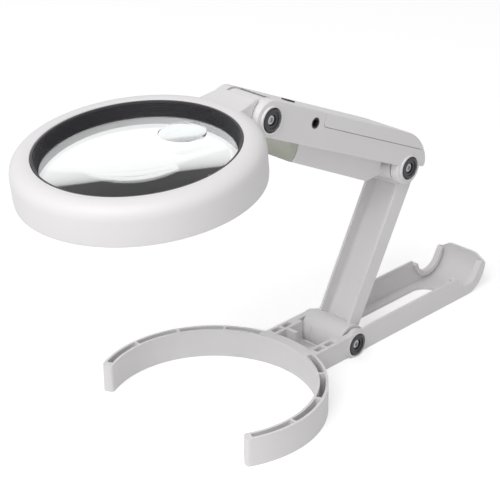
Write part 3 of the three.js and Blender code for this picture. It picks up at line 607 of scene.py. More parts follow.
def curved_bar(inner, outer, low_z, high_z, low, high, corner):
    """A bar bent round the ring's axis between two angles, with its upright end corners rounded."""
    profile = upright([(inner, low_z), (outer, low_z), (outer, high_z), (inner, high_z)], RING_X)
    bm = swept(profile, RING_CENTRE, low, high, max(2, round((high - low) / 360 * FINE_STEPS)))
    posts = []
    for edge in bm.edges:
        first, second = edge.verts
        if abs(first.co.z - second.co.z) > (high_z - low_z) / 2:
            if min(abs(bearing(first) - low), abs(bearing(first) - high)) < ANGLE_MATCH:
                posts.append(edge)
    rounded(bm, posts, corner, BAR_SEGMENTS)
    return bm


def ring_pockets(count, skin):
    """The open pockets between the ring's two skins, with a rib between each two."""
    first = -RING_END + math.degrees(2 * RING_RIB / RING_OUTER)
    pitch = -2 * first / count
    half_rib = math.degrees(RING_RIB / (2 * RING_OUTER))
    neck = rise_angle(NECK_HALF, RING_OUTER)
    pockets = []
    for number in range(count):
        low = first + number * pitch + half_rib
        high = first + (number + 1) * pitch - half_rib
        if low < -neck < high:
            high = -neck
        if low < neck < high:
            low = neck
        if high <= -neck or low >= neck:
            pockets.append(curved_bar(RING_INNER + skin, RING_OUTER - skin, RING_FLOOR,
                                      RING_HEIGHT + OVERRUN, low, high, POCKET_ROUND))
    return pockets


def trough_blank():
    """The trough's outside, its far end round about the closed elbow."""
    right = rise_angle(SHOULDER_TOP - ELBOW.z, NOTCH_RADIUS)
    left = -180 - rise_angle(STAND_WALL - ELBOW.z, NOTCH_RADIUS)
    scoop_end = rise_angle(SCOOP_SIDE - ELBOW.z, ELBOW.z)
    shoulder_x = around(ELBOW, NOTCH_RADIUS, right).x + SHOULDER_LENGTH
    return slab("side", -STAND_HALF, STAND_HALF, flat(0, 0), flat(ELBOW.x, 0),
                ("turn", ELBOW, 90 + scoop_end), flat(shoulder_x, SHOULDER_TOP),
                around(ELBOW, NOTCH_RADIUS, right), ("turn", ELBOW, left - right),
                flat(0, STAND_WALL))


def trough_hollow():
    """The room inside the trough, rising in a scoop at its far end."""
    half = STAND_HALF - TROUGH_SKIN
    rise = around(ELBOW, ELBOW.z - STAND_FLOOR, SCOOP_ARC)
    return slab("side", -half, half, flat(0, STAND_FLOOR), flat(ELBOW.x, STAND_FLOOR),
                ("turn", ELBOW, 90 + SCOOP_ARC), flat(rise.x, CASE_TOP), flat(0, CASE_TOP))


def floor_slot():
    """The slot in the trough's floor, with a round far end."""
    end = ELBOW.x - SLOT_INSET - SLOT_HALF
    return slab("plan", -OVERRUN, STAND_FLOOR + OVERRUN, plan(SLOT_START, -SLOT_HALF),
                plan(end, -SLOT_HALF), ("turn", plan(end, 0), 180), plan(SLOT_START, SLOT_HALF))


def notch_rim(low, high):
    """The thicker rim round one side notch."""
    wide = NOTCH_RADIUS + NOTCH_RIM
    start = -180 - rise_angle(STAND_WALL - ELBOW.z, wide)
    end = rise_angle(SHOULDER_TOP - ELBOW.z, wide)
    return slab("side", low, high, around(ELBOW, wide, start), ("turn", ELBOW, end - start),
                around(ELBOW, NOTCH_RADIUS, end), ("turn", ELBOW, start - end))


def notch_mouth():
    """Opens each side notch outwards above the closed heel, along a line that leaves its circle."""
    foot = around(ELBOW, NOTCH_RADIUS, -NOTCH_MOUTH)
    rise = CASE_HEEL_BOTTOM - foot.z
    top = flat(foot.x + rise * math.tan(math.radians(NOTCH_MOUTH)), CASE_HEEL_BOTTOM)
    return slab("side", -STAND_HALF - OVERRUN, STAND_HALF + OVERRUN, ELBOW, foot, top,
                flat(ELBOW.x, CASE_HEEL_BOTTOM))


def scoop_crest():
    """The far end's curved wall, highest in the middle."""
    inner = ELBOW.z - STAND_FLOOR
    outer_top = rise_angle(SCOOP_CREST - ELBOW.z, ELBOW.z)
    inner_top = rise_angle(SCOOP_CREST - ELBOW.z, inner)
    band = slab("side", -STAND_HALF, STAND_HALF, around(ELBOW, ELBOW.z, -SCOOP_ARC),
                ("turn", ELBOW, SCOOP_ARC + outer_top), around(ELBOW, inner, inner_top),
                ("turn", ELBOW, -SCOOP_ARC - inner_top))
    crest = slab("end", ELBOW.x, ELBOW.x + 2 * ELBOW.z, facing(-STAND_HALF, 0), facing(STAND_HALF, 0),
                 facing(STAND_HALF, SCOOP_SIDE), facing(SCOOP_CREST_HALF, SCOOP_CREST),
                 facing(-SCOOP_CREST_HALF, SCOOP_CREST), facing(-STAND_HALF, SCOOP_SIDE),
                 corners=SCOOP_ROUND)
    return shaped(band, "crest", [(KEEP, crest)])


def neck_block():
    """The neck between ring and cheeks: leaning walls, a pit, small open pockets and a stop post."""
    start = RING_X + RING_OUTER
    inside = RING_X + RING_INNER + TROUGH_SKIN
    blank = slab("end", inside, 0, facing(-STAND_HALF, 0), facing(STAND_HALF, 0),
                 facing(NECK_HALF, NECK_HEIGHT), facing(-NECK_HALF, NECK_HEIGHT))
    steps = [(CUT, box(inside + TROUGH_SKIN, OVERRUN, -NECK_PIT_HALF, NECK_PIT_HALF, STAND_FLOOR, CASE_TOP,
                       POCKET_ROUND))]
    for number in range(NECK_POCKETS):
        low = start + TROUGH_SKIN + number * (NECK_POCKET_LENGTH + NECK_POCKET_WEB)
        for side in (-1, 1):
            near, far = sorted([side * NECK_POCKET_INNER, side * NECK_POCKET_OUTER])
            steps.append((CUT, box(low, low + NECK_POCKET_LENGTH, near, far,
                                   NECK_HEIGHT - NECK_POCKET_DEPTH, CASE_TOP, POCKET_ROUND)))
    post_x = start + POST_SETBACK
    steps.append((JOIN, box(post_x, post_x + POST_LENGTH, POST_FROM, POST_TO, 0, POST_HEIGHT)))
    return shaped(blank, "neck", steps)


def bosses(pivot, face_half, inner_half):
    """A raised boss round the hinge on each outer face."""
    outer = face_half + BOSS_HEIGHT
    return [(JOIN, drum(pivot, BOSS_RADIUS, -outer, -inner_half)),
            (JOIN, drum(pivot, BOSS_RADIUS, inner_half, outer))]


def hinge_cuts(pivot, face_half):
    """Recesses for the end caps and one bore through the whole stack."""
    outer = face_half + BOSS_HEIGHT
    return [(CUT, drum(pivot, RECESS_RADIUS, -outer - OVERRUN, RECESS_DEPTH - outer)),
            (CUT, drum(pivot, RECESS_RADIUS, outer - RECESS_DEPTH, outer + OVERRUN)),
            (CUT, drum(pivot, BOLT_BORE, -outer, outer, SMALL_STEPS))]


def stand_cheeks():
    """Round cheeks either side of the barrel, cut flat at the table."""
    discs = drum(BASE_HINGE, STAND_CHEEK_RADIUS, -STAND_CHEEK_HALF, STAND_CHEEK_HALF)
    reach = 2 * STAND_CHEEK_HALF
    above = box(-reach, reach, -reach, reach, 0, reach)
    return shaped(discs, "cheeks", bosses(BASE_HINGE, STAND_CHEEK_HALF, BASE_CHEEK_INNER) + [(KEEP, above)])


def stand_shape(pocket_count, skin):
    """The whole stand as one moulding: trough, scoop, notches, cheeks, neck and C-shaped ring."""
    room = BARREL_RADIUS + TURN_GAP
    rim_low = STAND_HALF - TROUGH_SKIN - NOTCH_RIM_INSET
    rim_high = STAND_HALF - TROUGH_SKIN / 2
    ring = shaped(curved_bar(RING_INNER, RING_OUTER, 0, RING_HEIGHT, -RING_END, RING_END, RING_END_ROUND),
                  "ring", [(CUT, pocket) for pocket in ring_pockets(pocket_count, skin)])
    return shaped(trough_blank(), "trough", [
        (CUT, trough_hollow()),
        (CUT, floor_slot()),
        (JOIN, scoop_crest()),
        (JOIN, notch_rim(rim_low, rim_high)),
        (JOIN, notch_rim(-rim_high, -rim_low)),
        (CUT, notch_mouth()),
        (JOIN, box(LIP_START, LIP_END, STAND_HALF - LIP_WIDTH, STAND_HALF, 0, STAND_WALL + LIP_HEIGHT)),
        (JOIN, stand_cheeks()),
        (JOIN, neck_block()),
        (CUT, drum(BASE_HINGE, room, -BASE_CHEEK_INNER, BASE_CHEEK_INNER)),
        (CUT, box(-room, room, -BASE_CHEEK_INNER, BASE_CHEEK_INNER, BASE_HINGE.z, CASE_TOP)),
        (JOIN, box(-UNDER_BAR_HALF, UNDER_BAR_HALF, -STAND_HALF, STAND_HALF, 0, STAND_FLOOR)),
        (JOIN, ring),
    ] + hinge_cuts(BASE_HINGE, STAND_CHEEK_HALF))


# Lower arm

def lower_arm_shape():
    """The open channel with its barrel at the stand and its knuckle at the elbow."""
    rim_angle = 180 - rise_angle(ARM_TIP_TOP - ELBOW.z, KNUCKLE_RADIUS)
    body = slab("side", -KNUCKLE_HALF, KNUCKLE_HALF, flat(0, ARM_BOTTOM), flat(ELBOW.x, ARM_BOTTOM),
                ("turn", ELBOW, HEEL_ARC), around(ELBOW, KNUCKLE_RADIUS, 0),
                ("turn", ELBOW, rim_angle), flat(BARREL_RADIUS, ARM_ROOT_TOP),
                flat(0, ARM_ROOT_TOP))
    half = KNUCKLE_HALF - ARM_SKIN
    floor = ARM_BOTTOM + ARM_FLOOR
    end = ELBOW.x - KNUCKLE_RADIUS - ARM_SKIN
    hollow = shaped(box(0, end, -half, half, floor, ELBOW.z + OVERRUN, CHANNEL_ROUND), "channel",
                    [(CUT, drum(BASE_HINGE, BARREL_RADIUS, -KNUCKLE_HALF, KNUCKLE_HALF))])
    barrel = slab("side", -BARREL_HALF, BARREL_HALF, flat(0, BASE_HINGE.z),
                  around(BASE_HINGE, BARREL_RADIUS, BARREL_FROM),
                  ("turn", BASE_HINGE, BARREL_TO - BARREL_FROM))
    groove = shaped(drum(BASE_HINGE, BARREL_RADIUS + OVERRUN, GROOVE_PLACE - GROOVE_HALF,
                         GROOVE_PLACE + GROOVE_HALF), "groove",
                    [(CUT, drum(BASE_HINGE, BARREL_RADIUS - GROOVE_DEPTH, 0, BARREL_HALF))])
    front = box(-2 * BARREL_RADIUS, 0, -BARREL_HALF, BARREL_HALF, 0, 2 * BARREL_RADIUS)
    return shaped(body, "arm", [
        (CUT, hollow),
        (JOIN, drum(ELBOW, KNUCKLE_RADIUS, -KNUCKLE_HALF, KNUCKLE_HALF)),
        (JOIN, barrel),
        (CUT, shaped(groove, "front_groove", [(KEEP, front)])),
        (JOIN, drum(BASE_HINGE, BARREL_CORE, -BARREL_HALF, BARREL_HALF)),
        (CUT, drum(BASE_HINGE, BOLT_BORE, -NECK_HALF, NECK_HALF, SMALL_STEPS)),
        (CUT, drum(ELBOW, BOLT_BORE, -STAND_HALF, STAND_HALF, SMALL_STEPS)),
    ])


# Upper arm: battery case, cover, keel and nose

def case_blank(edge):
    """The case's outside, with the cover still part of it."""
    head_low = 180 - rise_angle(CASE_BOTTOM - HEAD_HINGE.z, CASE_HEAD_RADIUS)
    heel_low = 180 - rise_angle(CASE_BOTTOM - ELBOW.z, CHEEK_RADIUS)
    heel_high = 360 + rise_angle(CASE_HEEL_BOTTOM - ELBOW.z, CHEEK_RADIUS)
    heel_x = ELBOW.x + CASE_HEEL_REACH
    shoulder = flat(ELBOW.x + CASE_SHOULDER_REACH, CASE_TOP - CASE_SHOULDER_DROP)
    return slab("side", -CASE_HALF, CASE_HALF, around(HEAD_HINGE, CASE_HEAD_RADIUS, head_low),
                around(ELBOW, CHEEK_RADIUS, heel_low), ("turn", ELBOW, heel_high - heel_low),
                flat(heel_x - CASE_HEEL_ROUND, CASE_HEEL_BOTTOM),
                ("turn", flat(heel_x - CASE_HEEL_ROUND, CASE_HEEL_BOTTOM + CASE_HEEL_ROUND), 90),
                ("ease", flat(heel_x, CASE_HEEL_UPPER), shoulder, flat(ELBOW.x - CASE_TOP_BACK, CASE_TOP)),
                flat(HEAD_HINGE.x, CASE_TOP), ("turn", HEAD_HINGE, head_low - 90), edge=edge)


def door_space(gap):
    """The room of the battery cover, its lower front corner rounded."""
    front = DOOR_START - gap
    bottom = DOOR_BOTTOM - gap
    end = ELBOW.x + 2 * ELBOW.z
    return slab("side", -2 * CASE_HALF, 2 * CASE_HALF, flat(front, 2 * CASE_TOP),
                flat(front, bottom + DOOR_ROUND),
                ("turn", flat(front + DOOR_ROUND, bottom + DOOR_ROUND), 90),
                flat(end, bottom), flat(end, 2 * CASE_TOP))


def keel_block():
    """The keel under the case, cut back at its front for the nose."""
    rear = ELBOW.x - KEEL_SETBACK
    top = CASE_BOTTOM + CASE_EDGE + SEAT_GAP
    keel = slab("side", -KEEL_HALF, KEEL_HALF, flat(0, KEEL_FRONT), flat(NOSE_LENGTH, KEEL_FRONT),
                flat(rear, KEEL_REAR), flat(rear + KEEL_SLOPE, KEEL_REAR + KEEL_RISE),
                flat(rear + KEEL_SLOPE, top), flat(0, top))
    reach = KEEL_HALF + OVERRUN
    return shaped(keel, "keel", [
        (CUT, box(-OVERRUN, NOSE_BACK.x, -reach, reach, 0, CASE_BOTTOM)),
        (CUT, drum(NOSE_BACK, NOSE_BACK_RADIUS + SEAT_GAP, -reach, reach)),
    ])


def barrel_recess():
    """The room that the barrel of the lower arm needs when the stand is closed."""
    return drum(BASE_HINGE, BARREL_RADIUS + TURN_GAP, -BASE_CHEEK_INNER, BASE_CHEEK_INNER)


def case_shape(edge):
    """The case with cheeks at both hinges, a cell bay, a switch well and a seat for the inlet."""
    back = HEAD_HINGE.x - 2 * CASE_HEAD_RADIUS
    well = SWITCH_HALF + SEAT_GAP
    well_end = SWITCH_START + SWITCH_LENGTH + SWITCH_TRAVEL + SEAT_GAP
    return shaped(case_blank(edge), "case", [
        (CUT, door_space(SEAT_GAP)),
        (JOIN, keel_block()),
    ] + bosses(ELBOW, CASE_HALF, ARM_CHEEK_INNER) + bosses(HEAD_HINGE, CASE_HALF, HEAD_CHEEK_INNER) + [
        (CUT, barrel_recess()),
        (CUT, drum(ELBOW, HEEL_RADIUS + FOLD_GAP, -ARM_CHEEK_INNER, ARM_CHEEK_INNER)),
        (CUT, drum(HEAD_HINGE, CASE_HEAD_RADIUS + TURN_GAP, -HEAD_CHEEK_INNER, HEAD_CHEEK_INNER)),
        (CUT, box(back, HEAD_HINGE.x, -HEAD_CHEEK_INNER, HEAD_CHEEK_INNER, 0, 2 * CASE_TOP)),
        (CUT, box(BAY_START, BAY_END, -BAY_HALF, BAY_HALF, BAY_FLOOR, 2 * CASE_TOP, POCKET_ROUND)),
        (CUT, drum(INLET, INLET_RADIUS + SEAT_GAP, -CASE_HALF - OVERRUN, INLET_DEPTH + SEAT_GAP - CASE_HALF)),
        (CUT, box(SWITCH_START - SEAT_GAP, well_end, -well, well, CASE_TOP - SWITCH_WELL, 2 * CASE_TOP)),
    ] + hinge_cuts(ELBOW, CASE_HALF) + hinge_cuts(HEAD_HINGE, CASE_HALF))


def cover_shape(edge):
    """The part of the case's outside above the cell bay, hollow inside."""
    half = CASE_HALF - DOOR_SKIN
    hollow = box(DOOR_START + DOOR_SKIN, ELBOW.x, -half, half, 0, CASE_TOP - DOOR_SKIN, POCKET_ROUND)
    return shaped(case_blank(edge), "cover", [(KEEP, door_space(0)), (CUT, hollow)])


def nose_shape():
    """The front of the keel, rounded below and hollowed round the barrel."""
    top = CASE_BOTTOM - SEAT_GAP
    end = NOSE_LENGTH - SEAT_GAP
    half = KEEL_HALF - SEAT_GAP
    corner = flat(NOSE_START + NOSE_ROUND, KEEL_FRONT + NOSE_ROUND)
    nose = slab("side", -half, half, flat(NOSE_START, KEEL_FRONT + NOSE_ROUND), ("turn", corner, 90),
                flat(end, KEEL_FRONT), flat(end, top), flat(NOSE_START, top))
    back = shaped(box(-OVERRUN, NOSE_BACK.x, -half, half, 0, CASE_BOTTOM), "nose_back",
                  [(JOIN, drum(NOSE_BACK, NOSE_BACK_RADIUS, -half, half))])
    return shaped(nose, "nose", [(KEEP, back), (CUT, barrel_recess())])


# Cells, contacts, inlet and switch

def sideways(pairs, pivot):
    """Profile points at [radius, y] beside a hinge axis."""
    return [Vector((pivot.x + radius, y, pivot.z)) for radius, y in pairs]


def cell_rows():
    """Where each cell lies across the bay."""
    return [(number - (CELL_COUNT - 1) / 2) * CELL_PITCH for number in range(CELL_COUNT)]


def cell_shape(y):
    """One cell lying along the handle: rolled edges, a plain wrap and a raised contact."""
    axis = Vector((BAY_START + CONTACT_ROOM, y, BAY_FLOOR + SEAT_GAP + CELL_RADIUS))
    pairs = [(0, 0), (CELL_RADIUS, 0), (CELL_RADIUS, CELL_LENGTH), (CELL_NUB_RADIUS, CELL_LENGTH),
             (CELL_NUB_RADIUS, CELL_LENGTH + CELL_NUB_LENGTH), (0, CELL_LENGTH + CELL_NUB_LENGTH)]
    points = [axis + Vector((length, 0, radius)) for radius, length in pairs]
    return turned(points, axis, Vector((1, 0, 0)), ROUND_STEPS,
                  ((1, CELL_ROUND), (2, CELL_ROUND), (4, CELL_NUB_ROUND)))


def contact_shape(low):
    """A pressed strip with a shallow dimple for each cell."""
    half = BAY_HALF - SEAT_GAP
    bottom = BAY_FLOOR + SEAT_GAP
    strip = box(low, low + CONTACT_THICK, -half, half, bottom, bottom + CONTACT_HEIGHT,
                CONTACT_THICK * PLATE_ROUND)
    steps = []
    for row in cell_rows():
        dimple = bmesh.new()
        bmesh.ops.create_uvsphere(dimple, u_segments=SMALL_STEPS, v_segments=SMALL_STEPS // 2,
                                  radius=CELL_NUB_RADIUS)
        bmesh.ops.scale(dimple, verts=dimple.verts, vec=Vector((CONTACT_THICK / CELL_NUB_RADIUS / 2, 1, 1)))
        bmesh.ops.translate(dimple, verts=dimple.verts, vec=Vector((
            low + CONTACT_THICK / 2, row, bottom + CELL_RADIUS)))
        steps.append((JOIN, dimple))
    return shaped(strip, "contact", steps)


def inlet_shape():
    """The inlet's sleeve: a round mouth in the near side of the case."""
    face = -CASE_HALF
    back = face + INLET_DEPTH
    profile = sideways([(0, back), (INLET_RADIUS, back), (INLET_RADIUS, face), (INLET_BORE, face),
                        (INLET_BORE, back - INLET_BACK), (0, back - INLET_BACK)], INLET)
    return turned(profile, INLET, SIDEWAYS, ROUND_STEPS, ((2, INLET_ROUND), (3, INLET_ROUND)))


def inlet_pin_shape():
    """The pin in the middle of the inlet."""
    face = -CASE_HALF
    root = face + INLET_DEPTH - INLET_BACK
    tip = face + 2 * INLET_BACK
    profile = sideways([(0, root), (INLET_PIN, root), (INLET_PIN, tip), (0, tip)], INLET)
    return turned(profile, INLET, SIDEWAYS, SMALL_STEPS, ((2, INLET_PIN_ROUND),))


def switch_shape():
    """A thumb slide with cross ridges on its top."""
    bottom = CASE_TOP - SWITCH_WELL + SEAT_GAP
    top = CASE_TOP + SWITCH_PROUD
    count = 2 * SWITCH_RIDGES - 1
    pitch = SWITCH_LENGTH / count
    path = [flat(SWITCH_START + SWITCH_LENGTH, bottom)]
    for number in range(count, 0, -1):
        height = top if number % 2 else top - SWITCH_RIDGE
        path.append(flat(SWITCH_START + number * pitch, height))
        path.append(flat(SWITCH_START + (number - 1) * pitch, height))
    return slab("side", -SWITCH_HALF, SWITCH_HALF, flat(SWITCH_START, bottom), *path)


# Hinge hardware

def bolt_shape(pivot, head_under):
    """A turned pin with a round head at each end."""
    head_top = head_under + BOLT_HEAD_THICK
    profile = sideways([(0, -head_top), (BOLT_HEAD_RADIUS, -head_top), (BOLT_HEAD_RADIUS, -head_under),
                        (PIN_RADIUS, -head_under), (PIN_RADIUS, head_under), (BOLT_HEAD_RADIUS, head_under),
                        (BOLT_HEAD_RADIUS, head_top), (0, head_top)], pivot)
    pin = turned(profile, pivot, SIDEWAYS, ROUND_STEPS, ((1, BOLT_ROUND), (6, BOLT_ROUND)))
    sockets = []
    for low, high in ((-head_top - OVERRUN, SOCKET_DEPTH - head_top),
                      (head_top - SOCKET_DEPTH, head_top + OVERRUN)):
        sockets.append((CUT, drum(pivot, SOCKET_RADIUS, low, high, SOCKET_SIDES)))
    return shaped(pin, "bolt", sockets)


def cap_shape(pivot, low, high, sides, spin):
    """A many-sided plug with a shallow round step and a bore for the bolt's head."""
    plug = drum(pivot, CAP_RADIUS, low, high, sides, CAP_EDGE, 180 / sides + spin)
    return shaped(plug, "cap", [
        (CUT, drum(pivot, CAP_BORE, low - OVERRUN, high + OVERRUN)),
        (CUT, drum(pivot, CAP_STEP_RADIUS, low - OVERRUN, low + CAP_STEP_DEPTH)),
        (CUT, drum(pivot, CAP_STEP_RADIUS, high - CAP_STEP_DEPTH, high + OVERRUN)),
    ])


def washer_shape(pivot, low, high):
    """A flat washer with softened rims."""
    disc = drum(pivot, WASHER_RADIUS, low, high, ROUND_STEPS, WASHER * PLATE_ROUND)
    return shaped(disc, "washer", [(CUT, drum(pivot, BOLT_BORE, low - OVERRUN, high + OVERRUN))])


# Lens head

def rim_profile():
    """The head's wall: a slight foot, a straight side and an evenly curved crown, then back inside."""
    inner = HEAD_OUTER - HEAD_SKIN
    haunch = flat(HEAD_OUTER, RIM_Z - HAUNCH_DEPTH)
    crown = flat(CROWN_RADIUS, RIM_Z + CROWN_RISE)
    curve = interpolate_bezier(haunch, flat(HEAD_OUTER, RIM_Z - WALL_HANDLE_DEPTH),
                               flat(CROWN_HANDLE, RIM_Z - CROWN_HANDLE_DEPTH), crown, ROUND_STEPS // 3)
    under = interpolate_bezier(flat(CROWN_RADIUS, RIM_Z - RIM_FOOT),
                               flat(CROWN_HANDLE - HEAD_SKIN, RIM_Z - CROWN_HANDLE_DEPTH - HEAD_SKIN),
                               flat(inner, RIM_Z - WALL_HANDLE_DEPTH - HEAD_SKIN),
                               flat(inner, RIM_Z - HAUNCH_DEPTH), ROUND_STEPS // 4)
    pairs = [(HEAD_OUTER - FOOT_INSET, HEAD_FOOT_Z), (HEAD_OUTER, RIM_Z - FOOT_DEPTH)]
    pairs += [(p.x, p.z) for p in curve]
    pairs += [(RIM_INNER + SEAT_GAP, RIM_Z + SEAT_GAP / 2), (RIM_INNER, RIM_Z - SEAT_GAP),
              (RIM_INNER, RIM_Z - RIM_FOOT)]
    pairs += [(p.x, p.z) for p in under]
    pairs.append((inner, HEAD_FOOT_Z))
    return upright(pairs, RING_X)


def head_shell_shape():
    """The rim with the neck that climbs to the hinge and carries the tongue."""
    root = RING_X + CROWN_RADIUS
    tip = HEAD_HINGE.x - NECK_TIP_SETBACK
    outer = RING_X + HEAD_OUTER
    top = RIM_Z + NECK_TOP_RISE
    bottom = HEAD_HINGE.z - NECK_UNDERSIDE
    blank = slab("plan", bottom, top + OVERRUN, plan(root, -NECK_ROOT_HALF), plan(outer, -NECK_ROOT_HALF),
                 plan(tip, -NECK_TIP_HALF), plan(tip, NECK_TIP_HALF), plan(outer, NECK_ROOT_HALF),
                 plan(root, NECK_ROOT_HALF))
    low_top = HEAD_HINGE.z + NECK_TIP_TOP
    bend = (outer + NECK_RAMP + tip) / 2
    side = slab("side", -NECK_ROOT_HALF, NECK_ROOT_HALF, flat(root, bottom), flat(tip, bottom),
                flat(tip, low_top),
                ("ease", flat(bend, low_top + NECK_ROUND), flat(bend, top), flat(outer + NECK_RAMP, top)),
                flat(root, RIM_Z), edge=NECK_ROUND)
    beyond = [v for v in side.verts if v.co.x > outer]
    bmesh.ops.scale(side, verts=beyond, vec=Vector((1, NECK_TIP_HALF / NECK_ROOT_HALF, 1)))
    well = HEAD_OUTER - HEAD_SKIN / 2
    inside = turned(upright([(0, -OVERRUN), (well, -OVERRUN), (well, RIM_Z - HAUNCH_DEPTH),
                             (CROWN_RADIUS, RIM_Z - RIM_FOOT / 2), (CROWN_RADIUS, 2 * RIM_Z),
                             (0, 2 * RIM_Z)], RING_X), RING_CENTRE, UPWARD, FINE_STEPS)
    tongue_x = HEAD_HINGE.x - CASE_HEAD_RADIUS - 2 * TURN_GAP
    neck = shaped(blank, "head_neck", [
        (KEEP, side),
        (CUT, inside),
        (CUT, drum(HEAD_HINGE, CASE_HEAD_RADIUS + TURN_GAP, -CASE_HALF, CASE_HALF)),
        (JOIN, drum(HEAD_HINGE, CHEEK_RADIUS - SEAT_GAP, -TONGUE_HALF, TONGUE_HALF)),
        (JOIN, box(tongue_x, HEAD_HINGE.x, -TONGUE_HALF, TONGUE_HALF, bottom,
                   HEAD_HINGE.z + CASE_HEAD_RADIUS / 2)),
        (CUT, drum(HEAD_HINGE, BOLT_BORE, -CASE_HALF, CASE_HALF, SMALL_STEPS)),
    ])
    rim = turned(rim_profile(), RING_CENTRE, UPWARD, FINE_STEPS)
    return shaped(rim, "head", [(JOIN, neck)])


def bezel_shape(steps):
    """The black ring that frames the lens, with fine steps down its sloping inner face."""
    top = RIM_Z - SEAT_GAP
    low = RIM_Z - BEZEL_DEPTH
    outer = RIM_INNER - SEAT_GAP
    pairs = [(outer, top), (outer, RIM_Z - BEZEL_SKIRT), (LENS_RADIUS + SEAT_GAP, RIM_Z - BEZEL_SKIRT),
             (LENS_RADIUS + SEAT_GAP, low), (BEZEL_LOWER, low)]
    slope = outer - BEZEL_LIP - BEZEL_LOWER
    for number in range(1, steps + 1):
        share = number / (steps + 1)
        height = low + share * (top - low)
        pairs.append((BEZEL_LOWER + share * slope - BEZEL_STEP, height))
        pairs.append((BEZEL_LOWER + share * slope, height))
    pairs.append((outer - BEZEL_LIP, top))
    return turned(upright(pairs, RING_X), RING_CENTRE, UPWARD, FINE_STEPS)


def dome(radius, base, rise, count):
    """Points from the edge of a shallow dome to its middle."""
    shares = [number / count for number in range(count + 1)]
    return [(radius * (1 - share), base + rise * (1 - (1 - share) ** 2)) for share in shares]


def insert_seat():
    """Height of the flat seat that is sunk into the lens for the strong insert."""
    return LENS_TOP + LENS_RISE * (1 - (INSERT_OFFSET / LENS_RADIUS) ** 2) - INSERT_DEPTH


def lens_shape():
    """A biconvex lens with a flat edge and a round seat for the insert."""
    lower = dome(LENS_RADIUS, LENS_TOP - LENS_EDGE, -LENS_DROP, SMALL_STEPS)[::-1]
    upper = dome(LENS_RADIUS, LENS_TOP, LENS_RISE, SMALL_STEPS)
    lens = turned(upright(lower + upper, RING_X), RING_CENTRE, UPWARD, FINE_STEPS)
    seat = post(RING_X + INSERT_OFFSET, 0, INSERT_RADIUS + INSERT_GAP, insert_seat(), RIM_Z, 2 * ROUND_STEPS)
    return shaped(lens, "lens", [(CUT, seat)])


def insert_shape():
    """The strong insert: a small lens, flat below and domed above."""
    bottom = insert_seat() + INSERT_GAP
    pairs = [(0, bottom), (INSERT_RADIUS, bottom)]
    pairs += dome(INSERT_RADIUS, bottom + INSERT_DEPTH, INSERT_RISE, SMALL_STEPS)
    centre = Vector((RING_X + INSERT_OFFSET, 0, 0))
    return turned(upright(pairs, centre.x), centre, UPWARD, 2 * ROUND_STEPS)


def lamp_places():
    """Where each lamp stands, evenly round the ring."""
    places = []
    for number in range(LAMP_COUNT):
        angle = math.radians(LAMP_FIRST + number * 360 / LAMP_COUNT)
        places.append((RING_X + LAMP_CIRCLE * math.cos(angle), LAMP_CIRCLE * math.sin(angle)))
    return places


def lower_ring_shape():
    """The white ring that closes the head from below, with a round window for each lamp."""
    plate = HEAD_FOOT_Z + LOWER_PLATE
    outer = HEAD_OUTER - HEAD_SKIN - SEAT_GAP
    ledge = HEAD_FOOT_Z + BOARD_HEIGHT - SEAT_GAP
    inner = LOWER_INNER + COLLAR_WALL + SEAT_GAP
    ring = turned(upright([(inner, HEAD_FOOT_Z), (outer, HEAD_FOOT_Z), (outer, ledge),
                           (outer - BOARD_LEDGE, ledge), (outer - BOARD_LEDGE, plate), (inner, plate)],
                          RING_X), RING_CENTRE, UPWARD, FINE_STEPS)
    windows = [(CUT, post(x, y, LAMP_RADIUS + SEAT_GAP, HEAD_FOOT_Z - OVERRUN, plate + OVERRUN))
               for x, y in lamp_places()]
    return shaped(ring, "lower_ring", windows)


def collar_shape():
    """The pale sleeve between the lens and the lamps."""
    top = LENS_TOP - LENS_EDGE - SEAT_GAP
    outer = LOWER_INNER + COLLAR_WALL
    return turned(upright([(LOWER_INNER, HEAD_FOOT_Z), (outer, HEAD_FOOT_Z), (outer, top),
                           (LOWER_INNER, top)], RING_X), RING_CENTRE, UPWARD, FINE_STEPS)


def board_shape():
    """The flat ring of board that carries the lamps."""
    bottom = HEAD_FOOT_Z + BOARD_HEIGHT
    outer = HEAD_OUTER - HEAD_SKIN - 2 * SEAT_GAP
    return turned(upright([(BOARD_INNER, bottom), (outer, bottom), (outer, bottom + BOARD_THICK),
                           (BOARD_INNER, bottom + BOARD_THICK)], RING_X), RING_CENTRE, UPWARD, FINE_STEPS)


def lamp_shape(x, y):
    """A round lamp with a domed end that looks down."""
    top = HEAD_FOOT_Z + BOARD_HEIGHT - SEAT_GAP
    tip = top - LAMP_LENGTH
    pairs = [(0, tip)] + [(LAMP_RADIUS * math.sin(math.radians(angle)),
                           tip + LAMP_RADIUS / 2 * (1 - math.cos(math.radians(angle))))
                          for angle in range(LAMP_ARC, 91, LAMP_ARC)]
    pairs += [(LAMP_RADIUS, top), (0, top)]
    centre = Vector((x, y, 0))
    points = [Vector((x + radius, y, height)) for radius, height in pairs]
    return turned(points, centre, UPWARD, SMALL_STEPS)


# Materials

def linear(code):
    """An sRGB hex colour as the linear colour that Blender works in."""
    shares = [int(code[place:place + 2], 16) / 255 for place in (1, 3, 5)]
    return [s / 12.92 if s <= 0.04045 else ((s + 0.055) / 1.055) ** 2.4 for s in shares]


def node(tree, kind, settings, links=None):
    """Adds a node; settings fill its properties or inputs, and links feed its inputs."""
    made = tree.nodes.new(kind)
    for key, value in settings.items():
        if isinstance(key, str) and key in made.bl_rna.properties:
            setattr(made, key, value)
        else:
            made.inputs[key].default_value = value
    for key, source in (links or {}).items():
        tree.links.new(source, made.inputs[key])
    return made


def blank(name):
    """An empty node material with the object's own coordinates to build on."""
    material = bpy.data.materials.new(name)
    material.use_nodes = True
    material.node_tree.nodes.clear()
    place = node(material.node_tree, "ShaderNodeTexCoord", {})
    return material, material.node_tree, place.outputs["Object"]


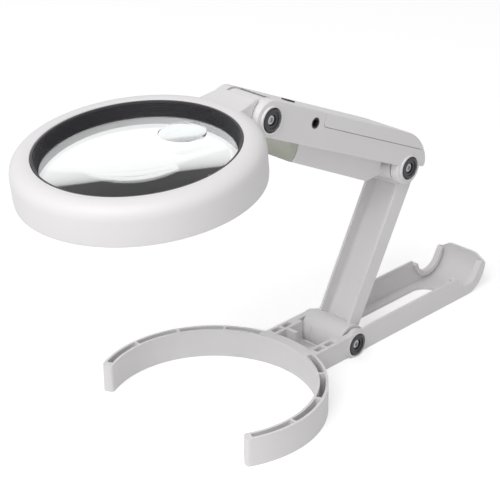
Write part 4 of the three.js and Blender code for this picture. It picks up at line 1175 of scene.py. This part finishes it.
def shades(colour, amount):
    """A colour a little darker and a little lighter, each with full alpha."""
    darker = [c * (1 - amount) for c in colour] + [1]
    lighter = [min(1, c * (1 + amount)) for c in colour] + [1]
    return darker, lighter


def fineness(width):
    """Scale of a noise whose patches are so many millimetres wide."""
    return 1 / (width * MM)


def toned(tree, colours, patches, rough, texture):
    """Moves between two colours with one pattern, and between two roughnesses with another."""
    tone = node(tree, "ShaderNodeMix", {"data_type": "RGBA", 6: colours[0], 7: colours[1]},
                {0: patches.outputs[0]})
    gloss = node(tree, "ShaderNodeMapRange", {"To Min": rough[0], "To Max": rough[1]},
                 {"Value": texture.outputs[0]})
    return tone.outputs[2], gloss.outputs[0]


def coated(material, own, tone, gloss, texture, strength, depth):
    """Joins colour, roughness and relief in the shader; own values are the same all over the surface."""
    tree = material.node_tree
    relief = node(tree, "ShaderNodeBump", {"Strength": strength, "Distance": depth * MM},
                  {"Height": texture.outputs[0]})
    shader = node(tree, "ShaderNodeBsdfPrincipled", own,
                  {"Base Color": tone, "Roughness": gloss, "Normal": relief.outputs[0]})
    node(tree, "ShaderNodeOutputMaterial", {}, {"Surface": shader.outputs[0]})
    return material


def moulded_abs(name, colour, rough, grain):
    """ABS from a spark-eroded mould: a fine even grain breaks up the gloss, and edges are rubbed lighter."""
    material, tree, place = blank(name)
    cloud = node(tree, "ShaderNodeTexNoise", {"Scale": fineness(CLOUD_WIDTH), "Detail": 2}, {"Vector": place})
    texture = node(tree, "ShaderNodeTexNoise", {"Scale": fineness(grain), "Detail": 3}, {"Vector": place})
    tone, gloss = toned(tree, shades(colour, ABS_SHADE), cloud, rough, texture)
    eased = node(tree, "ShaderNodeBevel", {"samples": 4, "Radius": WEAR_WIDTH * MM})
    surface = node(tree, "ShaderNodeNewGeometry", {})
    square = node(tree, "ShaderNodeVectorMath", {"operation": "DOT_PRODUCT"},
                  {0: eased.outputs[0], 1: surface.outputs["Normal"]})
    patches = node(tree, "ShaderNodeTexNoise", {"Scale": fineness(WEAR_PATCH), "Detail": 4},
                   {"Vector": place})
    rubbed = node(tree, "ShaderNodeMapRange",
                  {"From Min": EDGE_FACING, "From Max": CORNER_FACING, "To Min": 0, "To Max": RUBBED_SHARE},
                  {"Value": square.outputs["Value"]})
    share = node(tree, "ShaderNodeMath", {"operation": "MULTIPLY"},
                 {0: rubbed.outputs[0], 1: patches.outputs[0]})
    worn = node(tree, "ShaderNodeMix", {"data_type": "RGBA", 7: shades(colour, RUBBED_SHADE)[1]},
                {0: share.outputs[0], 6: tone})
    return coated(material, {"IOR": 1.54}, worn.outputs[2], gloss, texture, 0.35, GRAIN_DEPTH)


def polished_acrylic(name, colour, rough):
    """Acrylic cast in a polished mould: clear and glossy, with the faint haze of fine wiping marks."""
    material, tree, place = blank(name)
    tints = shades(colour, ACRYLIC_CLEAR)[1], shades(colour, ACRYLIC_SHADE)[0]
    cloud = node(tree, "ShaderNodeTexNoise", {"Scale": fineness(CLOUD_WIDTH), "Detail": 1}, {"Vector": place})
    stretched = node(tree, "ShaderNodeMapping", {"Scale": (1, WIPE_STRETCH, 1)}, {"Vector": place})
    marks = node(tree, "ShaderNodeTexNoise", {"Scale": fineness(WIPE_LENGTH), "Detail": 5},
                 {"Vector": stretched.outputs[0]})
    tone, haze = toned(tree, tints, cloud, rough, marks)
    return coated(material, {"IOR": 1.49, "Transmission Weight": 1}, tone, haze, marks, 0.05, WIPE_DEPTH)


def plated_steel(name, colour, rough):
    """Steel, turned and nickel plated: bright, with fine lathe rings and slightly duller patches."""
    material, tree, place = blank(name)
    cloud = node(tree, "ShaderNodeTexNoise", {"Scale": fineness(PLATING_PATCH), "Detail": 3},
                 {"Vector": place})
    lines = node(tree, "ShaderNodeTexNoise", {"Scale": fineness(LATHE_PITCH), "Detail": 2}, {"Vector": place})
    tone, gloss = toned(tree, shades(colour, PLATING_SHADE), cloud, rough, cloud)
    return coated(material, {"Metallic": 1}, tone, gloss, lines, 0.2, LATHE_DEPTH)


def glass_laminate(name, colour, rough):
    """Glass-epoxy board under solder mask: a satin green with the cloth's weave just showing."""
    material, tree, place = blank(name)
    threads = []
    for run in ("X", "Y"):
        threads.append(node(tree, "ShaderNodeTexWave",
                            {"bands_direction": run, "Scale": math.tau / (WAVE_RATE * WEAVE_PITCH * MM)},
                            {"Vector": place}))
    cloth = node(tree, "ShaderNodeMath", {"operation": "MULTIPLY"},
                 {0: threads[0].outputs[1], 1: threads[1].outputs[1]})
    tone, gloss = toned(tree, shades(colour, LAMINATE_SHADE), cloth, rough, cloth)
    return coated(material, {"IOR": 1.55}, tone, gloss, cloth, 0.3, WEAVE_DEPTH)


def cast_epoxy(name, colour, rough):
    """A lamp's cast epoxy: milky and glossy, with a yellowish heart."""
    material, tree, place = blank(name)
    cloud = node(tree, "ShaderNodeTexNoise", {"Scale": fineness(EPOXY_CLOUD), "Detail": 2}, {"Vector": place})
    tone, gloss = toned(tree, shades(colour, EPOXY_SHADE), cloud, rough, cloud)
    return coated(material, {"IOR": 1.5, "Transmission Weight": 0.35}, tone, gloss, cloud, 0.1, EPOXY_DEPTH)


def shrink_wrap(name, colour, rough):
    """A cell's shrink wrap, kept plain: glossy film with faint ripples."""
    material, tree, place = blank(name)
    cloud = node(tree, "ShaderNodeTexNoise", {"Scale": fineness(WRAP_RIPPLE), "Detail": 2}, {"Vector": place})
    tone, gloss = toned(tree, shades(colour, WRAP_SHADE), cloud, rough, cloud)
    return coated(material, {"IOR": 1.5, "Metallic": 0.3}, tone, gloss, cloud, 0.3, WRAP_DEPTH)


def background_rays(tree):
    """One where a ray comes from the camera, a mirror or the lens, so that each sees plain white behind."""
    ray = node(tree, "ShaderNodeLightPath", {})
    seen = node(tree, "ShaderNodeMath", {"operation": "MAXIMUM"},
                {0: ray.outputs["Is Camera Ray"], 1: ray.outputs["Is Transmission Ray"]})
    mirrored = node(tree, "ShaderNodeMath", {"operation": "MAXIMUM"},
                    {0: seen.outputs[0], 1: ray.outputs["Is Glossy Ray"]})
    return mirrored.outputs[0]


def white_floor(name):
    """A matt white sheet: full white to the camera, in mirrors and through the lens, with the shadow kept."""
    material, tree, place = blank(name)
    grain = node(tree, "ShaderNodeTexNoise", {"Scale": fineness(SHEET_GRAIN), "Detail": 2}, {"Vector": place})
    tone = node(tree, "ShaderNodeMix", {"data_type": "RGBA", 6: SHEET_DARK, 7: SHEET_LIGHT},
                {0: grain.outputs[0]})
    sheet = node(tree, "ShaderNodeBsdfDiffuse", {}, {"Color": tone.outputs[2]})
    lift = node(tree, "ShaderNodeMath", {"operation": "MULTIPLY", 1: FLOOR_LIFT}, {0: background_rays(tree)})
    glow = node(tree, "ShaderNodeEmission", {"Color": WHITE}, {"Strength": lift.outputs[0]})
    both = node(tree, "ShaderNodeAddShader", {}, {0: sheet.outputs[0], 1: glow.outputs[0]})
    node(tree, "ShaderNodeOutputMaterial", {}, {"Surface": both.outputs[0]})
    return material


def even_sky(name, level):
    """Even light from all round, at the given level on the object and white behind it."""
    world = bpy.data.worlds.new(name)
    world.use_nodes = True
    tree = world.node_tree
    tree.nodes.clear()
    strength = node(tree, "ShaderNodeMapRange", {"To Min": level, "To Max": 1},
                    {"Value": background_rays(tree)})
    sky = node(tree, "ShaderNodeBackground", {"Color": WHITE}, {"Strength": strength.outputs[0]})
    node(tree, "ShaderNodeOutputWorld", {}, {"Surface": sky.outputs[0]})
    return world


# For each slot: the real material's name, its maker, its lowest and highest roughness, and the mould's grain
FINISHES = {
    "shell": ("fine matt ABS, off-white", moulded_abs, (0.45, 0.55), SHELL_GRAIN),
    "cover": ("fine matt ABS, cover white", moulded_abs, (0.45, 0.55), SHELL_GRAIN),
    "nose": ("fine matt ABS, grey-green", moulded_abs, (0.5, 0.6), SHELL_GRAIN),
    "black": ("satin moulded ABS, black", moulded_abs, (0.37, 0.47), BLACK_GRAIN),
    "washer": ("natural nylon, moulded", moulded_abs, (0.45, 0.55), BLACK_GRAIN),
    "lens": ("polished cast acrylic", polished_acrylic, (0.005, 0.045)),
    "steel": ("nickel-plated turned steel", plated_steel, (0.2, 0.36)),
    "board": ("glass-epoxy laminate, green", glass_laminate, (0.35, 0.5)),
    "lamp": ("cast epoxy, milky", cast_epoxy, (0.08, 0.16)),
    "cell": ("shrink wrap, plain grey", shrink_wrap, (0.2, 0.34)),
}


def finish(slot):
    """The material of a slot, made in the panel's colour when it is first asked for."""
    name, maker, *values = FINISHES[slot]
    found = bpy.data.materials.get(name)
    return found or maker(name, getattr(bpy.context.scene.magnifier_colours, slot), *values)


# Sizes and colours that a user may change

def colour_of(name, description, code):
    """A colour setting whose default is an sRGB hex colour."""
    return FloatVectorProperty(name=name, description=description, subtype="COLOR", size=3, min=0, max=1,
                               default=linear(code))


class MagnifierColours(bpy.types.PropertyGroup):
    shell: colour_of("Shell", "Off-white moulded ABS of stand, arms and head", "#e6e4e5")
    cover: colour_of("Cover", "Moulded ABS of the battery cover", "#e8e6e7")
    nose: colour_of("Nose", "Grey-green moulded ABS at the front of the keel", "#b9bcb0")
    black: colour_of("Black", "Satin black moulded ABS of bezel, caps and slide", "#2b2a2e")
    washer: colour_of("Washers", "Natural nylon of the hinge washers", "#e8e6e0")
    lens: colour_of("Lens", "Clear acrylic of the lenses", "#fafcfc")
    steel: colour_of("Steel", "Nickel-plated steel of pins and contacts", "#a9aaae")
    board: colour_of("Board", "Solder mask of the lamp board", "#2f6f4a")
    lamp: colour_of("Lamps", "Milky epoxy of the lamps", "#f2efd8")
    cell: colour_of("Cells", "Plain wrap of the cells", "#77797d")


class MagnifierSizes(bpy.types.PropertyGroup):
    ring_pockets: IntProperty(name="Ring pockets", description="Open pockets round the C-shaped ring",
                              default=9, min=3, max=24)
    ring_skin: FloatProperty(name="Ring skin", description="Wall thickness of the ring, in millimetres",
                             default=1.7, min=0.8, max=3)
    case_edge: FloatProperty(name="Case edge",
                             description="Rounding of the case's long edges, in millimetres",
                             default=CASE_EDGE, min=0.2, max=CASE_EDGE)
    soft_edge: FloatProperty(name="Soft edge",
                             description="Rounding of the other moulded edges, in millimetres",
                             default=0.3, min=0.05, max=0.5)
    cap_sides: IntProperty(name="Cap sides", description="Sides of each hinge cap", default=8, min=6, max=24)
    bezel_steps: IntProperty(name="Bezel steps", description="Fine steps down the bezel's sloping face",
                             default=8, min=0, max=12)
    camera_lens: FloatProperty(name="Camera lens", description="Focal length of the camera, in millimetres",
                               default=123.2, min=20, max=400)
    key_light: FloatProperty(name="Key light", description="Power of the large lamp above", unit="POWER",
                             default=23.0, min=0, max=200)
    sky_light: FloatProperty(name="Sky light", description="Brightness of the even light all round",
                             default=0.46, min=0, max=2)


def dressed(bm, name, body, slot, replaces=(), edge=0.0):
    """Puts a modelled piece in its open place, in its finish, riding on its body."""
    bmesh.ops.transform(bm, matrix=PLACES[body], verts=bm.verts)
    piece = held(bm, name)
    piece.data.materials.append(finish(slot))
    piece.data.polygons.foreach_set("use_smooth", [True] * len(piece.data.polygons))
    piece.data.set_sharp_from_angle(angle=math.radians(SMOOTH_ANGLE))
    if edge:
        softened = piece.modifiers.new("softened edges", "BEVEL")
        softened.width = edge * MM
        softened.segments = SOFT_SEGMENTS
        softened.limit_method = "ANGLE"
        softened.angle_limit = math.radians(SMOOTH_ANGLE)
        softened.use_clamp_overlap = True
        softened.harden_normals = True
    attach(piece, body)
    if replaces:
        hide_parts(*replaces)


# Operators, one for each piece or group of like pieces

class MAGNIFIER_OT_stand(bpy.types.Operator):
    """Models the stand: C-shaped ring, neck, hinge cheeks and trough"""
    bl_idname = "magnifier.stand"
    bl_label = "Stand"

    def execute(self, context):
        sizes = context.scene.magnifier_sizes
        dressed(stand_shape(sizes.ring_pockets, sizes.ring_skin), "moulded_stand", "stand", "shell",
                ("stand",), sizes.soft_edge)
        return {"FINISHED"}


class MAGNIFIER_OT_lower_arm(bpy.types.Operator):
    """Models the open channel that joins the stand to the battery case"""
    bl_idname = "magnifier.lower_arm"
    bl_label = "Lower Arm"

    def execute(self, context):
        sizes = context.scene.magnifier_sizes
        dressed(lower_arm_shape(), "moulded_lower_arm", "lower_arm", "shell", ("lower_arm",), sizes.soft_edge)
        return {"FINISHED"}


class MAGNIFIER_OT_battery_case(bpy.types.Operator):
    """Models the battery case that is the upper link of the arm"""
    bl_idname = "magnifier.battery_case"
    bl_label = "Battery Case"

    def execute(self, context):
        sizes = context.scene.magnifier_sizes
        dressed(case_shape(sizes.case_edge), "moulded_case", "upper_arm", "shell", ("battery_case",),
                sizes.soft_edge)
        return {"FINISHED"}


class MAGNIFIER_OT_battery_cover(bpy.types.Operator):
    """Models the cover that closes the cell bay"""
    bl_idname = "magnifier.battery_cover"
    bl_label = "Battery Cover"

    def execute(self, context):
        sizes = context.scene.magnifier_sizes
        dressed(cover_shape(sizes.case_edge), "moulded_cover", "battery_cover", "cover", ("battery_cover",),
                sizes.soft_edge)
        return {"FINISHED"}


class MAGNIFIER_OT_keel_nose(bpy.types.Operator):
    """Models the grey-green front of the keel"""
    bl_idname = "magnifier.keel_nose"
    bl_label = "Keel Nose"

    def execute(self, context):
        sizes = context.scene.magnifier_sizes
        dressed(nose_shape(), "moulded_nose", "upper_arm", "nose", ("keel_nose",), sizes.soft_edge)
        return {"FINISHED"}


class MAGNIFIER_OT_cells(bpy.types.Operator):
    """Models the three cells and the contact strips at their ends"""
    bl_idname = "magnifier.cells"
    bl_label = "Cells And Contacts"

    def execute(self, context):
        for number, row in enumerate(cell_rows(), 1):
            dressed(cell_shape(row), f"wrapped_cell_{number}", "upper_arm", "cell", (f"cell_{number}",))
        dressed(contact_shape(BAY_START + SEAT_GAP), "front_strip", "upper_arm", "steel", ("contact_front",))
        dressed(contact_shape(BAY_END - SEAT_GAP - CONTACT_THICK), "rear_strip", "upper_arm", "steel",
                ("contact_rear",))
        return {"FINISHED"}


class MAGNIFIER_OT_inlet_and_switch(bpy.types.Operator):
    """Models the power inlet with its pin, and the ridged thumb slide"""
    bl_idname = "magnifier.inlet_and_switch"
    bl_label = "Inlet And Switch"

    def execute(self, context):
        dressed(inlet_shape(), "inlet_sleeve", "upper_arm", "black", ("power_inlet",))
        dressed(inlet_pin_shape(), "inlet_pin", "upper_arm", "steel")
        dressed(switch_shape(), "thumb_slide", "switch", "black", ("switch_slide",), SLIDE_EDGE)
        return {"FINISHED"}


class MAGNIFIER_OT_hinges(bpy.types.Operator):
    """Models the pins, caps and washers of the three hinges"""
    bl_idname = "magnifier.hinges"
    bl_label = "Hinge Hardware"

    def execute(self, context):
        sides = context.scene.magnifier_sizes.cap_sides
        for name, pivot, face_half, knuckle_half, spin in HINGES:
            head_under = face_half + BOSS_HEIGHT - RECESS_DEPTH + SEAT_GAP
            dressed(bolt_shape(pivot, head_under), f"{name}_pin", BODY_OF[f"{name}_bolt"], "steel",
                    (f"{name}_bolt",))
            inner = knuckle_half + SEAT_GAP
            for side, sign in (("near", -1), ("far", 1)):
                low, high = sorted([sign * head_under, sign * (head_under + CAP_THICK)])
                dressed(cap_shape(pivot, low, high, sides, spin), f"{name}_plug_{side}",
                        BODY_OF[f"{name}_cap_{side}"], "black", (f"{name}_cap_{side}",))
                low, high = sorted([sign * inner, sign * (inner + WASHER)])
                dressed(washer_shape(pivot, low, high), f"{name}_disc_{side}",
                        BODY_OF[f"{name}_washer_{side}"], "washer", (f"{name}_washer_{side}",))
        return {"FINISHED"}


class MAGNIFIER_OT_head_shell(bpy.types.Operator):
    """Models the round rim of the head with its neck and hinge tongue"""
    bl_idname = "magnifier.head_shell"
    bl_label = "Head Shell"

    def execute(self, context):
        sizes = context.scene.magnifier_sizes
        dressed(head_shell_shape(), "moulded_head", "lens_head", "shell", ("head_shell",), sizes.soft_edge)
        return {"FINISHED"}


class MAGNIFIER_OT_lens_bezel(bpy.types.Operator):
    """Models the black ring that frames the lens"""
    bl_idname = "magnifier.lens_bezel"
    bl_label = "Lens Bezel"

    def execute(self, context):
        steps = context.scene.magnifier_sizes.bezel_steps
        dressed(bezel_shape(steps), "stepped_bezel", "lens_head", "black", ("lens_bezel",))
        return {"FINISHED"}


class MAGNIFIER_OT_lenses(bpy.types.Operator):
    """Models the main lens and the strong insert near the hinge"""
    bl_idname = "magnifier.lenses"
    bl_label = "Lenses"

    def execute(self, context):
        dressed(lens_shape(), "reading_lens", "lens_head", "lens", ("main_lens",))
        dressed(insert_shape(), "strong_insert", "lens_head", "lens", ("insert_lens",))
        return {"FINISHED"}


class MAGNIFIER_OT_lamp_ring(bpy.types.Operator):
    """Models the lower ring, the pale sleeve, the lamp board and its lamps"""
    bl_idname = "magnifier.lamp_ring"
    bl_label = "Lamp Ring"

    def execute(self, context):
        sizes = context.scene.magnifier_sizes
        dressed(lower_ring_shape(), "window_ring", "lens_head", "shell", ("head_lower_ring",),
                sizes.soft_edge)
        dressed(collar_shape(), "pale_sleeve", "lens_head", "shell")
        dressed(board_shape(), "lamp_circuit", "lens_head", "board", ("led_board",))
        for number, (x, y) in enumerate(lamp_places(), 1):
            dressed(lamp_shape(x, y), f"lamp_{number}", "lens_head", "lamp", (f"led_{number}",))
        return {"FINISHED"}


class MAGNIFIER_OT_stage(bpy.types.Operator):
    """Sets the camera, the white floor, the soft lamp and the even sky light"""
    bl_idname = "magnifier.stage"
    bl_label = "Stage"

    def execute(self, context):
        sizes = context.scene.magnifier_sizes
        bm = bmesh.new()
        bmesh.ops.create_grid(bm, x_segments=1, y_segments=1, size=FLOOR_HALF)
        floor = held(bm, "white_sheet")
        floor.data.materials.append(white_floor("matt white sheet"))
        camera = placed("camera", bpy.data.cameras.new("camera"))
        camera.data.lens = sizes.camera_lens
        camera.data.clip_end = FLOOR_HALF
        turn = Matrix((CAMERA_RIGHT, -Vector(CAMERA_DOWN), -Vector(CAMERA_FORWARD))).transposed()
        camera.matrix_world = Matrix.Translation(Vector(CAMERA_PLACE) * MM) @ turn.to_4x4()
        context.scene.camera = camera
        lamp = placed("key_lamp", bpy.data.lights.new("key_lamp", "AREA"))
        lamp.data.energy = sizes.key_light
        lamp.data.size = KEY_SIZE
        lamp.location = KEY_PLACE
        lamp.rotation_mode = "QUATERNION"
        lamp.rotation_quaternion = (Vector(KEY_AIM) - Vector(KEY_PLACE)).to_track_quat("-Z", "Y")
        context.scene.world = even_sky("even_sky", sizes.sky_light)
        context.scene.view_settings.view_transform = "Standard"
        return {"FINISHED"}


class MAGNIFIER_PT_tools(bpy.types.Panel):
    """Sidebar list of the magnifier's pieces"""
    bl_label = "Magnifier"
    bl_space_type = "VIEW_3D"
    bl_region_type = "UI"
    bl_category = "Magnifier"

    def draw(self, context):
        for group in (context.scene.magnifier_sizes, context.scene.magnifier_colours):
            for name in group.__annotations__:
                self.layout.prop(group, name)
        for operator in OPERATORS:
            self.layout.operator(operator.bl_idname)


OPERATORS = (
    MAGNIFIER_OT_stage,
    MAGNIFIER_OT_stand,
    MAGNIFIER_OT_lower_arm,
    MAGNIFIER_OT_battery_case,
    MAGNIFIER_OT_battery_cover,
    MAGNIFIER_OT_keel_nose,
    MAGNIFIER_OT_cells,
    MAGNIFIER_OT_inlet_and_switch,
    MAGNIFIER_OT_hinges,
    MAGNIFIER_OT_head_shell,
    MAGNIFIER_OT_lens_bezel,
    MAGNIFIER_OT_lenses,
    MAGNIFIER_OT_lamp_ring,
)
CLASSES = (MagnifierColours, MagnifierSizes) + OPERATORS + (MAGNIFIER_PT_tools,)


def register():
    for kind in CLASSES:
        bpy.utils.register_class(kind)
    bpy.types.Scene.magnifier_colours = PointerProperty(type=MagnifierColours)
    bpy.types.Scene.magnifier_sizes = PointerProperty(type=MagnifierSizes)


def unregister():
    del bpy.types.Scene.magnifier_sizes
    del bpy.types.Scene.magnifier_colours
    for kind in reversed(CLASSES):
        bpy.utils.unregister_class(kind)


def main():
    register()
    for operator in OPERATORS:
        section, name = operator.bl_idname.split(".")
        getattr(getattr(bpy.ops, section), name)()


if __name__ == "__main__":
    main()
